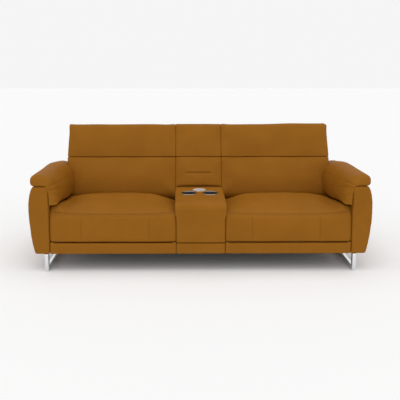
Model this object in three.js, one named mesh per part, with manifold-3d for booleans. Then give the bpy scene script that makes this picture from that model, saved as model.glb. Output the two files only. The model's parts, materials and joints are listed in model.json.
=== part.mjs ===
// Two-seat sofa with a drop-down console between the seats, on two chromed sled legs.
// Millimetres, +X to the sitter's left, +Y to the back, +Z up. The origin is on the floor, in
// the middle of the sofa's width and depth. Depths are measured back from the front plane.

import * as THREE from "three";
import { mergeVertices } from "three/addons/utils/BufferGeometryUtils.js";
import Module from "manifold-3d";

const wasm = await Module();
wasm.setup();

// Driving dimensions

const overall = { width: 2300 };

const fit = {
  gap: 0.3, // between pieces that touch
  overrun: 5, // of a cut past the face that it opens
  running: 2.5, // round a hinge that turns inside a cushion
};

const leather = { seam: 2 }; // open gap between two upholstered units

const strip = { thickness: 2, width: 20, inset: 12 };

const leg = {
  height: 118.4,
  width: 25,
  bar: 30,
  plate: 8,
  setBack: 3,
  rearSetBack: 87,
  cornerRadius: 14,
  innerRadius: 2,
  fromArmFace: 12,
};

const rail = { thickness: 25, height: 73.2, rearSetBack: 115 };

const dustCover = { thickness: 1.5 };

const band = { belowRail: 2, thickness: 43, setBack: 1, radius: 9 };

const spring = {
  wire: 3.6,
  count: 5,
  bends: 6,
  bendRadius: 14,
  clipWidth: 18,
};

const deck = { thickness: 12, behindSeat: 38 };

const seat = {
  depth: 552,
  thickness: 203.8,
  setBack: 8,
  frontBulge: 6,
  crown: 26,
  noseRadius: 44,
  backRadius: 30,
  footRadius: 12,
  sideRadius: 34,
  stitchDepth: 4,
};

const middleSeat = {
  halfWidth: 164,
  underConsole: 5,
  setBack: 10,
  frontBulge: 3,
  noseRadius: 26,
  sideRadius: 12,
};

const back = {
  behindSeat: 1.2,
  seamAboveSeat: 268, // the seam under the headrest
  lean: 20.8, // degrees
  middleReach: 11, // of the middle unit past the low seat, on each side
  seamOpening: 3,
};

const lumbar = {
  thickness: 130,
  belowSeatTop: 40.5,
  bulge: 16,
  seamRadius: 24,
  footRadius: 58,
  rearRadius: 18,
  sideRadius: 26,
  creaseBelowSeam: 124,
  creaseDepth: 5,
};

const headrest = {
  heelBehindFrame: 23.5,
  height: 238,
  topDepth: 168,
  topDrop: 22, // of the rear top edge below the front one
  crownRadius: 44,
  seamRadius: 20,
  rearRadius: 60,
  heelRadius: 12,
  sideRadius: 26,
  bulge: 12,
};

const headBoard = { thickness: 15, width: 560, middleWidth: 240, height: 130, fromHeel: 8 };

const headHinge = {
  leaf: 4,
  pin: 8,
  eye: 9,
  knuckle: 30,
  fixedLength: 110,
  movingLength: 70,
  spread: 380,
  middleSpread: 130,
};

const backFrame = { thickness: 30, border: 60 };

const shell = { wall: 12, belowSeam: 16, topDepth: 112.3, footSetBack: 75 };

const arm = {
  width: 138,
  footWidth: 104,
  rearSetBack: 75,
  aboveSeat: 160,
  bulgeBelowTop: 114,
  edgeRadius: 16,
  bulge: 8,
  outerRadius: 150,
};

const armFrame = { thickness: 30, border: 70, topRoom: 63, endRoom: 52.5 };

const armPad = {
  thickness: 62,
  drop: 54, // how far it reaches inwards past the arm's inner face
  aboveSeat: 8,
  rollRadius: 26,
  crestRadius: 50,
  overhang: 1,
  innerTop: 22,
  endRadius: 14,
  backClearance: 6, // in front of the crowned lumbar cushion
};

const consolePad = {
  sideReach: 13, // past the low seat, on each side
  aboveSeat: 64,
  thickness: 70,
  noseDepth: 2,
  behindHinge: 15,
  noseRadius: 48,
  lipRadius: 10,
  rearRadius: 16,
  sideRadius: 12,
  lip: 12,
};

const consoleBase = { thickness: 13.6, frontOfHinge: 19 };

const consoleHinge = {
  room: 64, // behind the low seat, in front of the back
  behindSeat: 17,
  aboveBottom: 32,
  plate: 4,
  pin: 8,
  eye: 12,
  fromSeatSide: 24,
  barWidth: 26,
  foot: 28,
  footPlate: 3,
  earReach: 70,
  slot: 9,
};

const cup = {
  spacing: 154,
  frontOfHinge: 195,
  outerRadius: 49,
  wall: 2,
  aboveBase: 4.5,
  rimOver: 2.4,
  sides: 40,
};

const ring = { width: 9.2, height: 3, bevel: 1 };

const charger = { radius: 48.5, thickness: 6, recess: 3, frontOfHinge: 95, sides: 40, bevel: 1 };

// Levels and places that follow from the driving dimensions

const halfWidth = overall.width / 2;
const legBottom = strip.thickness + fit.gap;
const baseBottom = legBottom + leg.height + fit.gap;
const railBottom = baseBottom + dustCover.thickness + fit.gap;
const railTop = railBottom + rail.height;
const springBottom = railTop + fit.gap;
const seatBottom = springBottom + spring.wire + fit.gap;
const armInner = halfWidth - arm.width;
const unitOuter = armInner - leather.seam;
const seatInner = middleSeat.halfWidth + leather.seam;
const seatTop = seatBottom + seat.thickness;
const bandRear = band.setBack + band.thickness;
const railFront = bandRear + fit.gap;
const railOuter = armInner - fit.gap;
const leanAngle = THREE.MathUtils.degToRad(back.lean);

const backHalf = middleSeat.halfWidth + back.middleReach;
const backInner = backHalf + leather.seam;
const seamHeight = seatTop + back.seamAboveSeat;
const seamDepth = seat.depth + back.behindSeat + back.seamAboveSeat * Math.tan(leanAngle);
const lumbarLength = (back.seamAboveSeat + lumbar.belowSeatTop) / Math.cos(leanAngle);
const frameRearInward = lumbar.thickness + fit.gap + backFrame.thickness;
const headBase = frameRearInward / Math.cos(leanAngle) + headrest.heelBehindFrame;

const shellTop = seamHeight - shell.belowSeam;
const shellInward = frameRearInward + fit.gap + headHinge.leaf + fit.running;
const shellFront = backDepthAt(shellInward, shellTop);
const sofaDepth = shellFront + shell.topDepth;
const shellFoot = sofaDepth - shell.footSetBack;
const legLength = sofaDepth - leg.setBack - leg.rearSetBack;
const railRear = sofaDepth - rail.rearSetBack;

const armLength = sofaDepth - arm.rearSetBack;
const armTop = seatTop + arm.aboveSeat;
const armBulgeHeight = armTop - arm.bulgeBelowTop;
const armPadTop = armTop + armPad.thickness;
const armPadBottom = seatTop + armPad.aboveSeat;

const consoleTop = seatTop + consolePad.aboveSeat;
const consoleBottom = consoleTop - consolePad.thickness;
const consoleHalf = middleSeat.halfWidth + consolePad.sideReach;
const middleSeatDepth = seat.depth - consoleHinge.room;
const middleSeatTop = consoleBottom - middleSeat.underConsole;
const hingeDepth = middleSeatDepth + consoleHinge.behindSeat;
const hingeHeight = consoleBottom + consoleHinge.aboveBottom;
const hingeSpread = 2 * (middleSeat.halfWidth - consoleHinge.fromSeatSide);
const consoleRear = hingeDepth + consolePad.behindHinge;
const cupDepth = hingeDepth - cup.frontOfHinge;
const ringRadius = cup.outerRadius + fit.gap + ring.width;

const sides = [
  { name: "left", sign: -1 },
  { name: "right", sign: 1 },
];

// Depth behind the front plane as a Y coordinate.
const y = (depth) => depth - sofaDepth / 2;

// Geometry helpers

// A closed mesh as a manifold-3d solid.
function solid(geometry) {
  const bare = geometry.clone();
  bare.deleteAttribute("normal");
  bare.deleteAttribute("uv");
  const merged = mergeVertices(bare);
  return new wasm.Manifold(
    new wasm.Mesh({
      numProp: 3,
      vertProperties: merged.attributes.position.array,
      triVerts: new Uint32Array(merged.index.array),
    }),
  );
}

// A manifold-3d solid as a geometry.
function geometryOf(made) {
  const mesh = made.getMesh();
  const geometry = new THREE.BufferGeometry();
  geometry.setAttribute("position", new THREE.BufferAttribute(mesh.vertProperties, mesh.numProp));
  geometry.setIndex(new THREE.BufferAttribute(mesh.triVerts, 1));
  geometry.computeVertexNormals();
  return geometry;
}

// A box between two corners.
function box(low, high) {
  const size = high.map((value, i) => value - low[i]);
  const geometry = new THREE.BoxGeometry(...size);
  return geometry.translate(...high.map((value, i) => (value + low[i]) / 2));
}

// An upright cylinder that stands on z.
function disc(radius, x, depth, z, height, steps) {
  const geometry = new THREE.CylinderGeometry(radius, radius, height, steps);
  return geometry.rotateX(Math.PI / 2).translate(x, y(depth), z + height / 2);
}

// A cylinder along X, centred on x.
function crossPin(radius, length, x, depth, z, steps) {
  const geometry = new THREE.CylinderGeometry(radius, radius, length, steps);
  return geometry.rotateZ(Math.PI / 2).translate(x, y(depth), z);
}

// The outline of a polygon whose corners are { at: [a, b], radius, steps }, walked in order.
// Each point knows the edge that it lies on, and its share of the way along that edge.
function outline(corners, piecesOf) {
  const arcs = corners.map((corner, i) => {
    const { here, before, after, half } = turnAt(corners, i);
    const reach = corner.radius / Math.tan(half);
    const middle = before.clone().add(after).normalize();
    return {
      start: here.clone().addScaledVector(before, reach),
      end: here.clone().addScaledVector(after, reach),
      centre: here.clone().addScaledVector(middle, corner.radius / Math.sin(half)),
      radius: corner.radius,
      steps: corner.steps ?? 4,
    };
  });
  return arcs.flatMap((arc, i) => {
    const next = arcs[(i + 1) % arcs.length];
    const pieces = piecesOf(i, arc.end.distanceTo(next.start));
    const straight = Array.from({ length: pieces }, (_, k) => ({
      at: arc.end.clone().lerp(next.start, k / pieces),
      edge: i,
      share: k / pieces,
    }));
    return [...arcPoints(arc), ...straight];
  });
}

// The points of one rounded corner, up to the last, which the next edge begins with.
function arcPoints(arc) {
  if (arc.radius === 0) return [];
  const from = arc.start.clone().sub(arc.centre).angle();
  let turn = arc.end.clone().sub(arc.centre).angle() - from;
  if (turn > Math.PI) turn -= 2 * Math.PI;
  if (turn < -Math.PI) turn += 2 * Math.PI;
  return Array.from({ length: arc.steps }, (_, k) => {
    const angle = from + (turn * k) / arc.steps;
    const spoke = new THREE.Vector2(Math.cos(angle), Math.sin(angle));
    return { at: arc.centre.clone().addScaledVector(spoke, arc.radius), edge: -1, share: 0 };
  });
}

// A corner, the directions to the corners beside it, and half the angle between them.
function turnAt(corners, i) {
  const here = new THREE.Vector2(...corners[i].at);
  const before = new THREE.Vector2(...corners.at(i - 1).at).sub(here).normalize();
  const after = new THREE.Vector2(...corners[(i + 1) % corners.length].at).sub(here).normalize();
  const half = Math.acos(THREE.MathUtils.clamp(before.dot(after), -1, 1)) / 2;
  return { here, before, after, half };
}

// The same polygon drawn in by a distance, with its rounded corners tightened to suit.
function drawnIn(corners, distance) {
  const tightestShare = 0.12;
  const area = THREE.ShapeUtils.area(corners.map(({ at }) => new THREE.Vector2(...at)));
  return corners.map((corner, i) => {
    const { here, before, after, half } = turnAt(corners, i);
    const convex = Math.sign(after.cross(before)) === Math.sign(area);
    const middle = before.clone().add(after).normalize();
    const move = (convex ? distance : -distance) / Math.sin(half);
    const { x, y: height } = here.addScaledVector(middle, move);
    const tight = convex ? corner.radius - distance : corner.radius;
    const radius = Math.max(tight, corner.radius * tightestShare);
    return { ...corner, at: [x, height], radius };
  });
}

// An upholstered form: an outline swept along an axis, with soft ends, crowned edges and seams.
// bulges[i] is the crown of the outline's edge i, and seams are { near: [a, b], depth }.
function cushion({ corners, longest, start, end, sideRadius, bulges = [], seams = [], stations = 5 }) {
  const pieces = [];
  const points = outline(corners, (edge, length) => {
    pieces[edge] = Math.max(1, Math.ceil(length / longest));
    return pieces[edge];
  });
  const area = THREE.ShapeUtils.area(points.map((p) => p.at));
  const count = points.length;
  const outward = points.map((p, i) => {
    const along = points[(i + 1) % count].at.clone().sub(points.at(i - 1).at).normalize();
    return new THREE.Vector2(along.y, -along.x).multiplyScalar(Math.sign(area));
  });
  const pinch = points.map((p) => seamDepthAt(points, p, seams));
  const rings = ringsAlong(start, end, sideRadius, stations);
  const rims = rings.map(({ along, inset }) => {
    const share = (2 * (along - start)) / (end - start) - 1;
    const fullness = 1 - share * share;
    return outline(drawnIn(corners, inset), (edge) => pieces[edge]).map((p, i) => {
      const crown = (bulges[p.edge] ?? 0) * Math.sin(Math.PI * p.share) * fullness;
      return p.at.addScaledVector(outward[i], crown - pinch[i]);
    });
  });
  const positions = rims.flatMap((rim, r) => rim.flatMap((at) => [rings[r].along, at.x, at.y]));
  const index = [];
  for (let r = 0; r < rings.length - 1; r += 1) {
    for (let i = 0; i < count; i += 1) {
      const a = r * count + i;
      const b = r * count + ((i + 1) % count);
      index.push(a, a + count, b, b, a + count, b + count);
    }
  }
  const counterClockwise = area > 0;
  [0, rings.length - 1].forEach((r, side) => {
    const rim = counterClockwise ? rims[r] : [...rims[r]].reverse();
    const turned = side === (counterClockwise ? 1 : 0);
    THREE.ShapeUtils.triangulateShape(rim, []).forEach((face) => {
      const [a, b, c] = face.map((k) => r * count + (counterClockwise ? k : count - 1 - k));
      index.push(...(turned ? [a, c, b] : [a, b, c]));
    });
  });
  const geometry = new THREE.BufferGeometry();
  geometry.setAttribute("position", new THREE.Float32BufferAttribute(positions, 3));
  geometry.setIndex(index);
  return facingOut(geometry);
}

// Where the rings of a swept form stand, and how far each is drawn in at its soft ends.
function ringsAlong(start, end, radius, stations) {
  const softSteps = 3;
  const soft = Array.from({ length: softSteps + 1 }, (_, k) => {
    const angle = (Math.PI / 2) * (k / softSteps);
    return { reach: radius * (1 - Math.cos(angle)), inset: radius * (1 - Math.sin(angle)) };
  });
  const span = end - start - 2 * radius;
  const middle = Array.from({ length: stations - 1 }, (_, k) => ({
    along: start + radius + (span * (k + 1)) / stations,
    inset: 0,
  }));
  return [
    ...soft.map(({ reach, inset }) => ({ along: start + reach, inset })),
    ...middle,
    ...soft.reverse().map(({ reach, inset }) => ({ along: end - reach, inset })),
  ];
}

// How far the seams draw a point of an outline in: each takes the point nearest to it.
function seamDepthAt(points, point, seams) {
  return seams.reduce((depth, seam) => {
    const near = new THREE.Vector2(...seam.near);
    const nearest = points.reduce((best, p) =>
      p.at.distanceTo(near) < best.at.distanceTo(near) ? p : best,
    );
    return nearest === point ? Math.max(depth, seam.depth) : depth;
  }, 0);
}

// The same geometry, turned inside out if its faces point inwards.
function facingOut(geometry) {
  const position = geometry.attributes.position;
  const index = geometry.index.array;
  const [a, b, c] = [new THREE.Vector3(), new THREE.Vector3(), new THREE.Vector3()];
  let volume = 0;
  for (let i = 0; i < index.length; i += 3) {
    a.fromBufferAttribute(position, index[i]);
    b.fromBufferAttribute(position, index[i + 1]);
    c.fromBufferAttribute(position, index[i + 2]);
    volume += a.dot(b.cross(c));
  }
  if (volume < 0) {
    for (let i = 0; i < index.length; i += 3) [index[i], index[i + 1]] = [index[i + 1], index[i]];
  }
  geometry.computeVertexNormals();
  return geometry;
}

// A flat outline in the YZ plane, given as [depth, height] points, made into a slab across X.
function slab(points, fromX, toX) {
  const shape = new THREE.Shape(points.map(([depth, z]) => new THREE.Vector2(y(depth), z)));
  const geometry = new THREE.ExtrudeGeometry(shape, { depth: toX - fromX, bevelEnabled: false });
  geometry.applyMatrix4(new THREE.Matrix4().set(0, 0, 1, fromX, 1, 0, 0, 0, 0, 1, 0, 0, 0, 0, 0, 1));
  return geometry;
}

// Materials

const sofa = new THREE.Group();

const finishes = {
  leather: { color: 0x925f25, roughness: 0.55, metalness: 0 },
  lining: { color: 0x1d1b1a, roughness: 0.95, metalness: 0 },
  chrome: { color: 0xd8dadc, roughness: 0.08, metalness: 1 },
  steel: { color: 0x55585b, roughness: 0.4, metalness: 1 },
  timber: { color: 0xc9a673, roughness: 0.7, metalness: 0 },
  darkPlastic: { color: 0x141416, roughness: 0.5, metalness: 0 },
  brushed: { color: 0xc4c6c8, roughness: 0.3, metalness: 1 },
};

function add(name, geometry, finish) {
  const mesh = new THREE.Mesh(geometry, new THREE.MeshStandardMaterial(finishes[finish]));
  mesh.name = name;
  sofa.add(mesh);
  return mesh;
}

// Sled legs, each a closed chromed loop on a plastic glide strip

function buildLegs() {
  const inner = armInner + leg.fromArmFace;
  const low = legBottom;
  const high = legBottom + leg.height;
  const front = y(leg.setBack);
  const rear = front + legLength;
  sides.forEach(({ name, sign }) => {
    const loop = roundedRectangle(front, low, rear, high, leg.cornerRadius);
    const window = [front + leg.bar, low + leg.bar, rear - leg.bar, high - leg.plate];
    loop.holes.push(roundedRectangle(...window, leg.innerRadius));
    const bar = new THREE.ExtrudeGeometry(loop, {
      depth: leg.width,
      bevelEnabled: false,
      curveSegments: 4,
    });
    const fromX = sign > 0 ? inner : -inner - leg.width;
    bar.applyMatrix4(new THREE.Matrix4().set(0, 0, 1, fromX, 1, 0, 0, 0, 0, 1, 0, 0, 0, 0, 0, 1));
    add(`sled_leg_${name}`, bar, "chrome");
    const middle = sign * (inner + leg.width / 2);
    add(
      `floor_strip_${name}`,
      box(
        [middle - strip.width / 2, front + leg.cornerRadius + strip.inset, 0],
        [middle + strip.width / 2, rear - leg.cornerRadius - strip.inset, strip.thickness],
      ),
      "darkPlastic",
    );
  });
}

function roundedRectangle(left, low, right, high, radius) {
  const shape = new THREE.Shape();
  shape.moveTo(left + radius, low);
  shape.lineTo(right - radius, low);
  shape.absarc(right - radius, low + radius, radius, -Math.PI / 2, 0, false);
  shape.absarc(right - radius, high - radius, radius, 0, Math.PI / 2, false);
  shape.absarc(left + radius, high - radius, radius, Math.PI / 2, Math.PI, false);
  shape.absarc(left + radius, low + radius, radius, Math.PI, Math.PI * 1.5, false);
  return shape;
}

// Base frame: front and rear rails, four cross rails, two rails behind the seats

const crossRails = [-railOuter, -middleSeat.halfWidth - leather.seam / 2 - rail.thickness / 2]
  .flatMap((x) => [x, -x - rail.thickness])
  .sort((a, b) => a - b);

function buildBase() {
  const rear = railRear - rail.thickness;
  add(
    "front_rail",
    box([-railOuter, y(railFront), railBottom], [railOuter, y(railFront + rail.thickness), railTop]),
    "timber",
  );
  add(
    "rear_rail",
    box([-railOuter, y(rear), railBottom], [railOuter, y(rear + rail.thickness), railTop]),
    "timber",
  );
  crossRails.forEach((x, i) => {
    add(
      `cross_rail_${i + 1}`,
      box(
        [x, y(railFront + rail.thickness + fit.gap), railBottom],
        [x + rail.thickness, y(rear - fit.gap), railTop],
      ),
      "timber",
    );
  });
  const springRear = seat.depth + spring.clipWidth / 2;
  sides.forEach(({ name, sign }) => {
    const [from, to] = seatBay(sign);
    add(
      `seat_rear_rail_${name}`,
      box([from, y(springRear), railBottom], [to, y(springRear + rail.thickness), railTop]),
      "timber",
    );
    add(`spring_deck_${name}`, springDeck(from, to, springRear), "steel");
  });
  const inside = crossRails[2] - fit.gap;
  add(
    "deck_board_middle",
    box(
      [-inside, y(railFront + rail.thickness + fit.gap), railTop - deck.thickness],
      [inside, y(seat.depth + deck.behindSeat), railTop],
    ),
    "timber",
  );
  add(
    "dust_cover",
    box(
      [-unitOuter, y(railFront), baseBottom],
      [unitOuter, y(rear + rail.thickness), baseBottom + dustCover.thickness],
    ),
    "lining",
  );
}

// The clear span between two cross rails under a side seat.
function seatBay(sign) {
  const [outer, inner] = [crossRails[0], crossRails[1]];
  const from = outer + rail.thickness + fit.gap;
  const to = inner - fit.gap;
  return sign < 0 ? [from, to] : [-to, -from];
}

// Zigzag springs between two clip rails, all in one plane on the frame.
function springDeck(from, to, rearRailDepth) {
  const front = y(railFront + (rail.thickness - spring.clipWidth) / 2);
  const rear = y(rearRailDepth + (rail.thickness - spring.clipWidth) / 2);
  const top = springBottom + spring.wire;
  let made = solid(box([from, front, springBottom], [to, front + spring.clipWidth, top]));
  made = made.add(solid(box([from, rear, springBottom], [to, rear + spring.clipWidth, top])));
  const pitch = (to - from) / spring.count;
  const run = rear - front;
  for (let s = 0; s < spring.count; s += 1) {
    const x = from + pitch * (s + 1 / 2);
    const centreLine = [];
    for (let k = 0; k <= 2 * spring.bends; k += 1) {
      const along = front + spring.clipWidth / 2 + (run * k) / (2 * spring.bends);
      const side = k % 2 === 0 ? -1 : 1;
      centreLine.push(new THREE.Vector2(x + side * spring.bendRadius, along));
    }
    const shape = ribbon(centreLine, spring.wire);
    const wire = new THREE.ExtrudeGeometry(shape, { depth: spring.wire, bevelEnabled: false });
    made = made.add(solid(wire.translate(0, 0, springBottom)));
  }
  return geometryOf(made);
}

// A line of bends given a width in its own plane.
function ribbon(line, width) {
  const across = line.map((point, i) => {
    const before = line[Math.max(0, i - 1)];
    const after = line[Math.min(line.length - 1, i + 1)];
    const along = after.clone().sub(before).normalize();
    return new THREE.Vector2(-along.y, along.x).multiplyScalar(width / 2);
  });
  const leftSide = line.map((point, i) => point.clone().add(across[i]));
  const rightSide = line.map((point, i) => point.clone().sub(across[i]));
  return new THREE.Shape([...leftSide, ...rightSide.reverse()]);
}

// Upholstered bands on the front of the base, one to a unit

function buildBands() {
  const low = baseBottom;
  const high = railTop - band.belowRail;
  const front = y(band.setBack);
  const rear = y(bandRear);
  const corners = [
    { at: [front, low], radius: band.radius, steps: 3 },
    { at: [rear, low], radius: band.radius / 2, steps: 2 },
    { at: [rear, high], radius: band.radius / 2, steps: 2 },
    { at: [front, high], radius: band.radius, steps: 3 },
  ];
  const units = [
    ["front_band_left", -unitOuter, -seatInner],
    ["front_band_middle", -middleSeat.halfWidth, middleSeat.halfWidth],
    ["front_band_right", seatInner, unitOuter],
  ];
  units.forEach(([name, start, end]) => {
    const made = cushion({
      corners,
      longest: rail.height,
      start,
      end,
      sideRadius: band.radius,
      stations: 1,
    });
    add(name, made, "leather");
  });
}

// Seat cushions, with a rounded stitched nose and a crown, and the low one under the console

function buildSeats() {
  const nose = seat.noseRadius;
  const corners = [
    { at: [y(seat.setBack), seatBottom], radius: seat.footRadius, steps: 3 },
    { at: [y(seat.depth), seatBottom], radius: seat.footRadius, steps: 2 },
    { at: [y(seat.depth), seatTop], radius: seat.backRadius, steps: 3 },
    { at: [y(seat.setBack), seatTop], radius: nose, steps: 6 },
  ];
  const stitch = THREE.MathUtils.degToRad(30);
  const seams = [
    {
      near: [
        y(seat.setBack) + nose * (1 - Math.cos(stitch)),
        seatTop - nose * (1 - Math.sin(stitch)),
      ],
      depth: seat.stitchDepth,
    },
  ];
  sides.forEach(({ name, sign }) => {
    const [start, end] = sign < 0 ? [-unitOuter, -seatInner] : [seatInner, unitOuter];
    const made = cushion({
      corners,
      longest: seat.depth / 6,
      start,
      end,
      sideRadius: seat.sideRadius,
      bulges: [0, 0, seat.crown, seat.frontBulge],
      seams,
      stations: 7,
    });
    add(`seat_cushion_${name}`, made, "leather");
  });
  const low = [
    { at: [y(middleSeat.setBack), springBottom], radius: seat.footRadius, steps: 3 },
    { at: [y(middleSeatDepth), springBottom], radius: seat.footRadius, steps: 2 },
    { at: [y(middleSeatDepth), middleSeatTop], radius: seat.backRadius, steps: 3 },
    { at: [y(middleSeat.setBack), middleSeatTop], radius: middleSeat.noseRadius, steps: 4 },
  ];
  const made = cushion({
    corners: low,
    longest: middleSeatDepth / 3,
    start: -middleSeat.halfWidth,
    end: middleSeat.halfWidth,
    sideRadius: middleSeat.sideRadius,
    bulges: [0, 0, 0, middleSeat.frontBulge],
    stations: 3,
  });
  add("seat_cushion_middle", made, "leather");
}

// A point of the leaning back: down from the seam along the lean, and in from the front face.
function backPoint(down, inward) {
  return [
    seamDepth - down * Math.sin(leanAngle) + inward * Math.cos(leanAngle),
    seamHeight - down * Math.cos(leanAngle) - inward * Math.sin(leanAngle),
  ];
}

// Where the line at this distance behind the back's front face reaches a height.
function backDepthAt(inward, height) {
  const [depth, z] = backPoint(0, inward);
  return depth + (height - z) * Math.tan(leanAngle);
}

const backUnits = [
  { name: "left", start: -unitOuter, end: -backInner },
  { name: "middle", start: -backHalf, end: backHalf },
  { name: "right", start: backInner, end: unitOuter },
];

function buildLumbars() {
  const corner = ([depth, z], radius, steps) => ({ at: [y(depth), z], radius, steps });
  const rearTop = [backDepthAt(lumbar.thickness, seamHeight), seamHeight];
  const corners = [
    corner([seamDepth, seamHeight], lumbar.seamRadius, 4),
    corner(backPoint(lumbarLength, 0), lumbar.footRadius, 4),
    corner(backPoint(lumbarLength, lumbar.thickness), lumbar.rearRadius, 2),
    corner(rearTop, lumbar.rearRadius, 2),
  ];
  backUnits.forEach(({ name, start, end }) => {
    const [depth, z] = backPoint(lumbar.creaseBelowSeam, 0);
    const seams = name === "middle" ? [{ near: [y(depth), z], depth: lumbar.creaseDepth }] : [];
    const made = cushion({
      corners,
      longest: lumbarLength / 7,
      start,
      end,
      sideRadius: lumbar.sideRadius,
      bulges: [lumbar.bulge, 0, 0, 0],
      seams,
      stations: name === "middle" ? 4 : 6,
    });
    add(`lumbar_cushion_${name}`, made, "leather");
  });
}

// Leaning timber frames behind the lumbar cushions

function buildBackFrames() {
  const frontFace = lumbar.thickness + fit.gap;
  const rearFace = frameRearInward;
  const top = seamHeight - fit.gap;
  const foot = railTop + fit.gap;
  const side = [
    [backDepthAt(frontFace, foot), foot],
    [backDepthAt(rearFace, foot), foot],
    [backDepthAt(rearFace, top), top],
    [backDepthAt(frontFace, top), top],
  ];
  const low = foot + backFrame.border;
  const high = top - backFrame.border;
  const through = fit.overrun;
  const window = [
    [backDepthAt(frontFace - through, low), low],
    [backDepthAt(rearFace + through, low), low],
    [backDepthAt(rearFace + through, high), high],
    [backDepthAt(frontFace - through, high), high],
  ];
  backUnits.forEach(({ name, start, end }) => {
    const [from, to] = [start + shell.wall + fit.gap, end - shell.wall - fit.gap];
    const cut = solid(slab(window, from + backFrame.border, to - backFrame.border));
    add(`back_frame_${name}`, geometryOf(solid(slab(side, from, to)).subtract(cut)), "timber");
  });
}

// Outer back shells: a rear wall, a ledge behind the headrest and two side walls

function buildBackShells() {
  const foot = baseBottom;
  const lean = (sofaDepth - shellFoot) / (shellTop - foot);
  const wall = shell.wall;
  const front = railRear + fit.gap;
  const outer = [
    [front, foot],
    [shellFoot, foot],
    [sofaDepth, shellTop],
    [shellFront, shellTop],
    [backDepthAt(shellInward, railTop + fit.gap), railTop + fit.gap],
    [front, railTop + fit.gap],
  ];
  const innerTop = shellTop - wall;
  const inner = [
    [front - fit.overrun, foot - fit.overrun],
    [shellFoot - wall - lean * fit.overrun, foot - fit.overrun],
    [sofaDepth - wall - lean * wall, innerTop],
    [backDepthAt(shellInward, innerTop) - fit.overrun, innerTop],
    [backDepthAt(shellInward, railTop) - fit.overrun, railTop],
    [front - fit.overrun, railTop],
  ];
  backUnits.forEach(({ name, start, end }) => {
    const block = solid(slab(outer, start, end));
    const hollow = solid(slab(inner, start + wall, end - wall));
    add(`back_shell_${name}`, geometryOf(block.subtract(hollow)), "leather");
  });
}

// Headrests: a padded head with a board let in from below, on a ratchet hinge at its heel

const headBottom = seamHeight + back.seamOpening;
const headPivot = {
  depth: seamDepth + headBase - headrest.heelRadius,
  height: headBottom + headrest.heelRadius,
};

// The headrest's rear face leans from its heel to its rear top edge.
const headTop = headBottom + headrest.height;
const headFrontTop = seamDepth + headrest.height * Math.tan(leanAngle);
const headRearTop = headFrontTop + headrest.topDepth;
const headRearLean = Math.atan2(
  headRearTop - seamDepth - headBase,
  headrest.height - headrest.topDrop,
);

function buildHeadrests() {
  const heel = seamDepth + headBase;
  const corners = [
    { at: [y(seamDepth), headBottom], radius: headrest.seamRadius, steps: 3 },
    { at: [y(heel), headBottom], radius: headrest.heelRadius, steps: 3 },
    { at: [y(headRearTop), headTop - headrest.topDrop], radius: headrest.rearRadius, steps: 4 },
    { at: [y(headFrontTop), headTop], radius: headrest.crownRadius, steps: 5 },
  ];
  backUnits.forEach(({ name, start, end }) => {
    const middle = name === "middle";
    const centre = (start + end) / 2;
    const made = cushion({
      corners,
      longest: headrest.height / 4,
      start,
      end,
      sideRadius: headrest.sideRadius,
      bulges: [0, 0, 0, headrest.bulge],
      stations: middle ? 3 : 6,
    });
    const boardWidth = middle ? headBoard.middleWidth : headBoard.width;
    const spread = middle ? headHinge.middleSpread : headHinge.spread;
    const board = headFrame(centre, boardWidth);
    const cut = headFrame(centre, boardWidth + 2 * fit.gap, fit.gap);
    let head = solid(made).subtract(solid(cut.slot));
    [-1, 1].forEach((end_) => {
      const x = centre + (end_ * spread) / 2;
      head = head.subtract(solid(heelNotch(x)));
    });
    add(`headrest_cushion_${name}`, geometryOf(head), "leather");
    add(`headrest_board_${name}`, board.panel, "timber");
    add(`headrest_hinge_fixed_${name}`, fixedLeaf(centre, spread), "steel");
    add(`headrest_hinge_moving_${name}`, movingLeaf(centre, spread), "steel");
  });
}

// A point of the headrest's rear: up its rear lean from the pivot, and forward of it.
function headPoint(up, forward) {
  return [
    headPivot.depth + up * Math.sin(headRearLean) - forward * Math.cos(headRearLean),
    headPivot.height + up * Math.cos(headRearLean) + forward * Math.sin(headRearLean),
  ];
}

// The board inside a headrest, and the slot that the board and the moving leaf stand in.
function headFrame(centre, width, clearance = 0) {
  const leafRear = -headHinge.leaf / 2 - clearance;
  const boardRear = headHinge.leaf / 2 + fit.gap;
  const boardFront = boardRear + headBoard.thickness + clearance;
  const low = headHinge.eye + headBoard.fromHeel;
  const high = low + headBoard.height + clearance;
  const [fromX, toX] = [centre - width / 2, centre + width / 2];
  const panel = slab(
    [
      headPoint(low, boardFront),
      headPoint(low, boardRear),
      headPoint(high, boardRear),
      headPoint(high, boardFront),
    ],
    fromX,
    toX,
  );
  const below = -headHinge.eye - headrest.heelRadius - fit.overrun;
  const slot = slab(
    [
      headPoint(below, boardFront),
      headPoint(below, leafRear),
      headPoint(high, leafRear),
      headPoint(high, boardFront),
    ],
    fromX,
    toX,
  );
  return { panel, slot };
}

// The room for one hinge knuckle at a headrest's heel.
function heelNotch(x) {
  const reach = headHinge.eye + fit.running;
  const half = headHinge.knuckle + fit.running;
  const below = headrest.heelRadius + fit.overrun;
  return slab(
    [
      [headPivot.depth - reach, headPivot.height - below],
      [headPivot.depth + below, headPivot.height - below],
      [headPivot.depth + below, headPivot.height + reach],
      [headPivot.depth - reach, headPivot.height + reach],
    ],
    x - half,
    x + half,
  );
}

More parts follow.
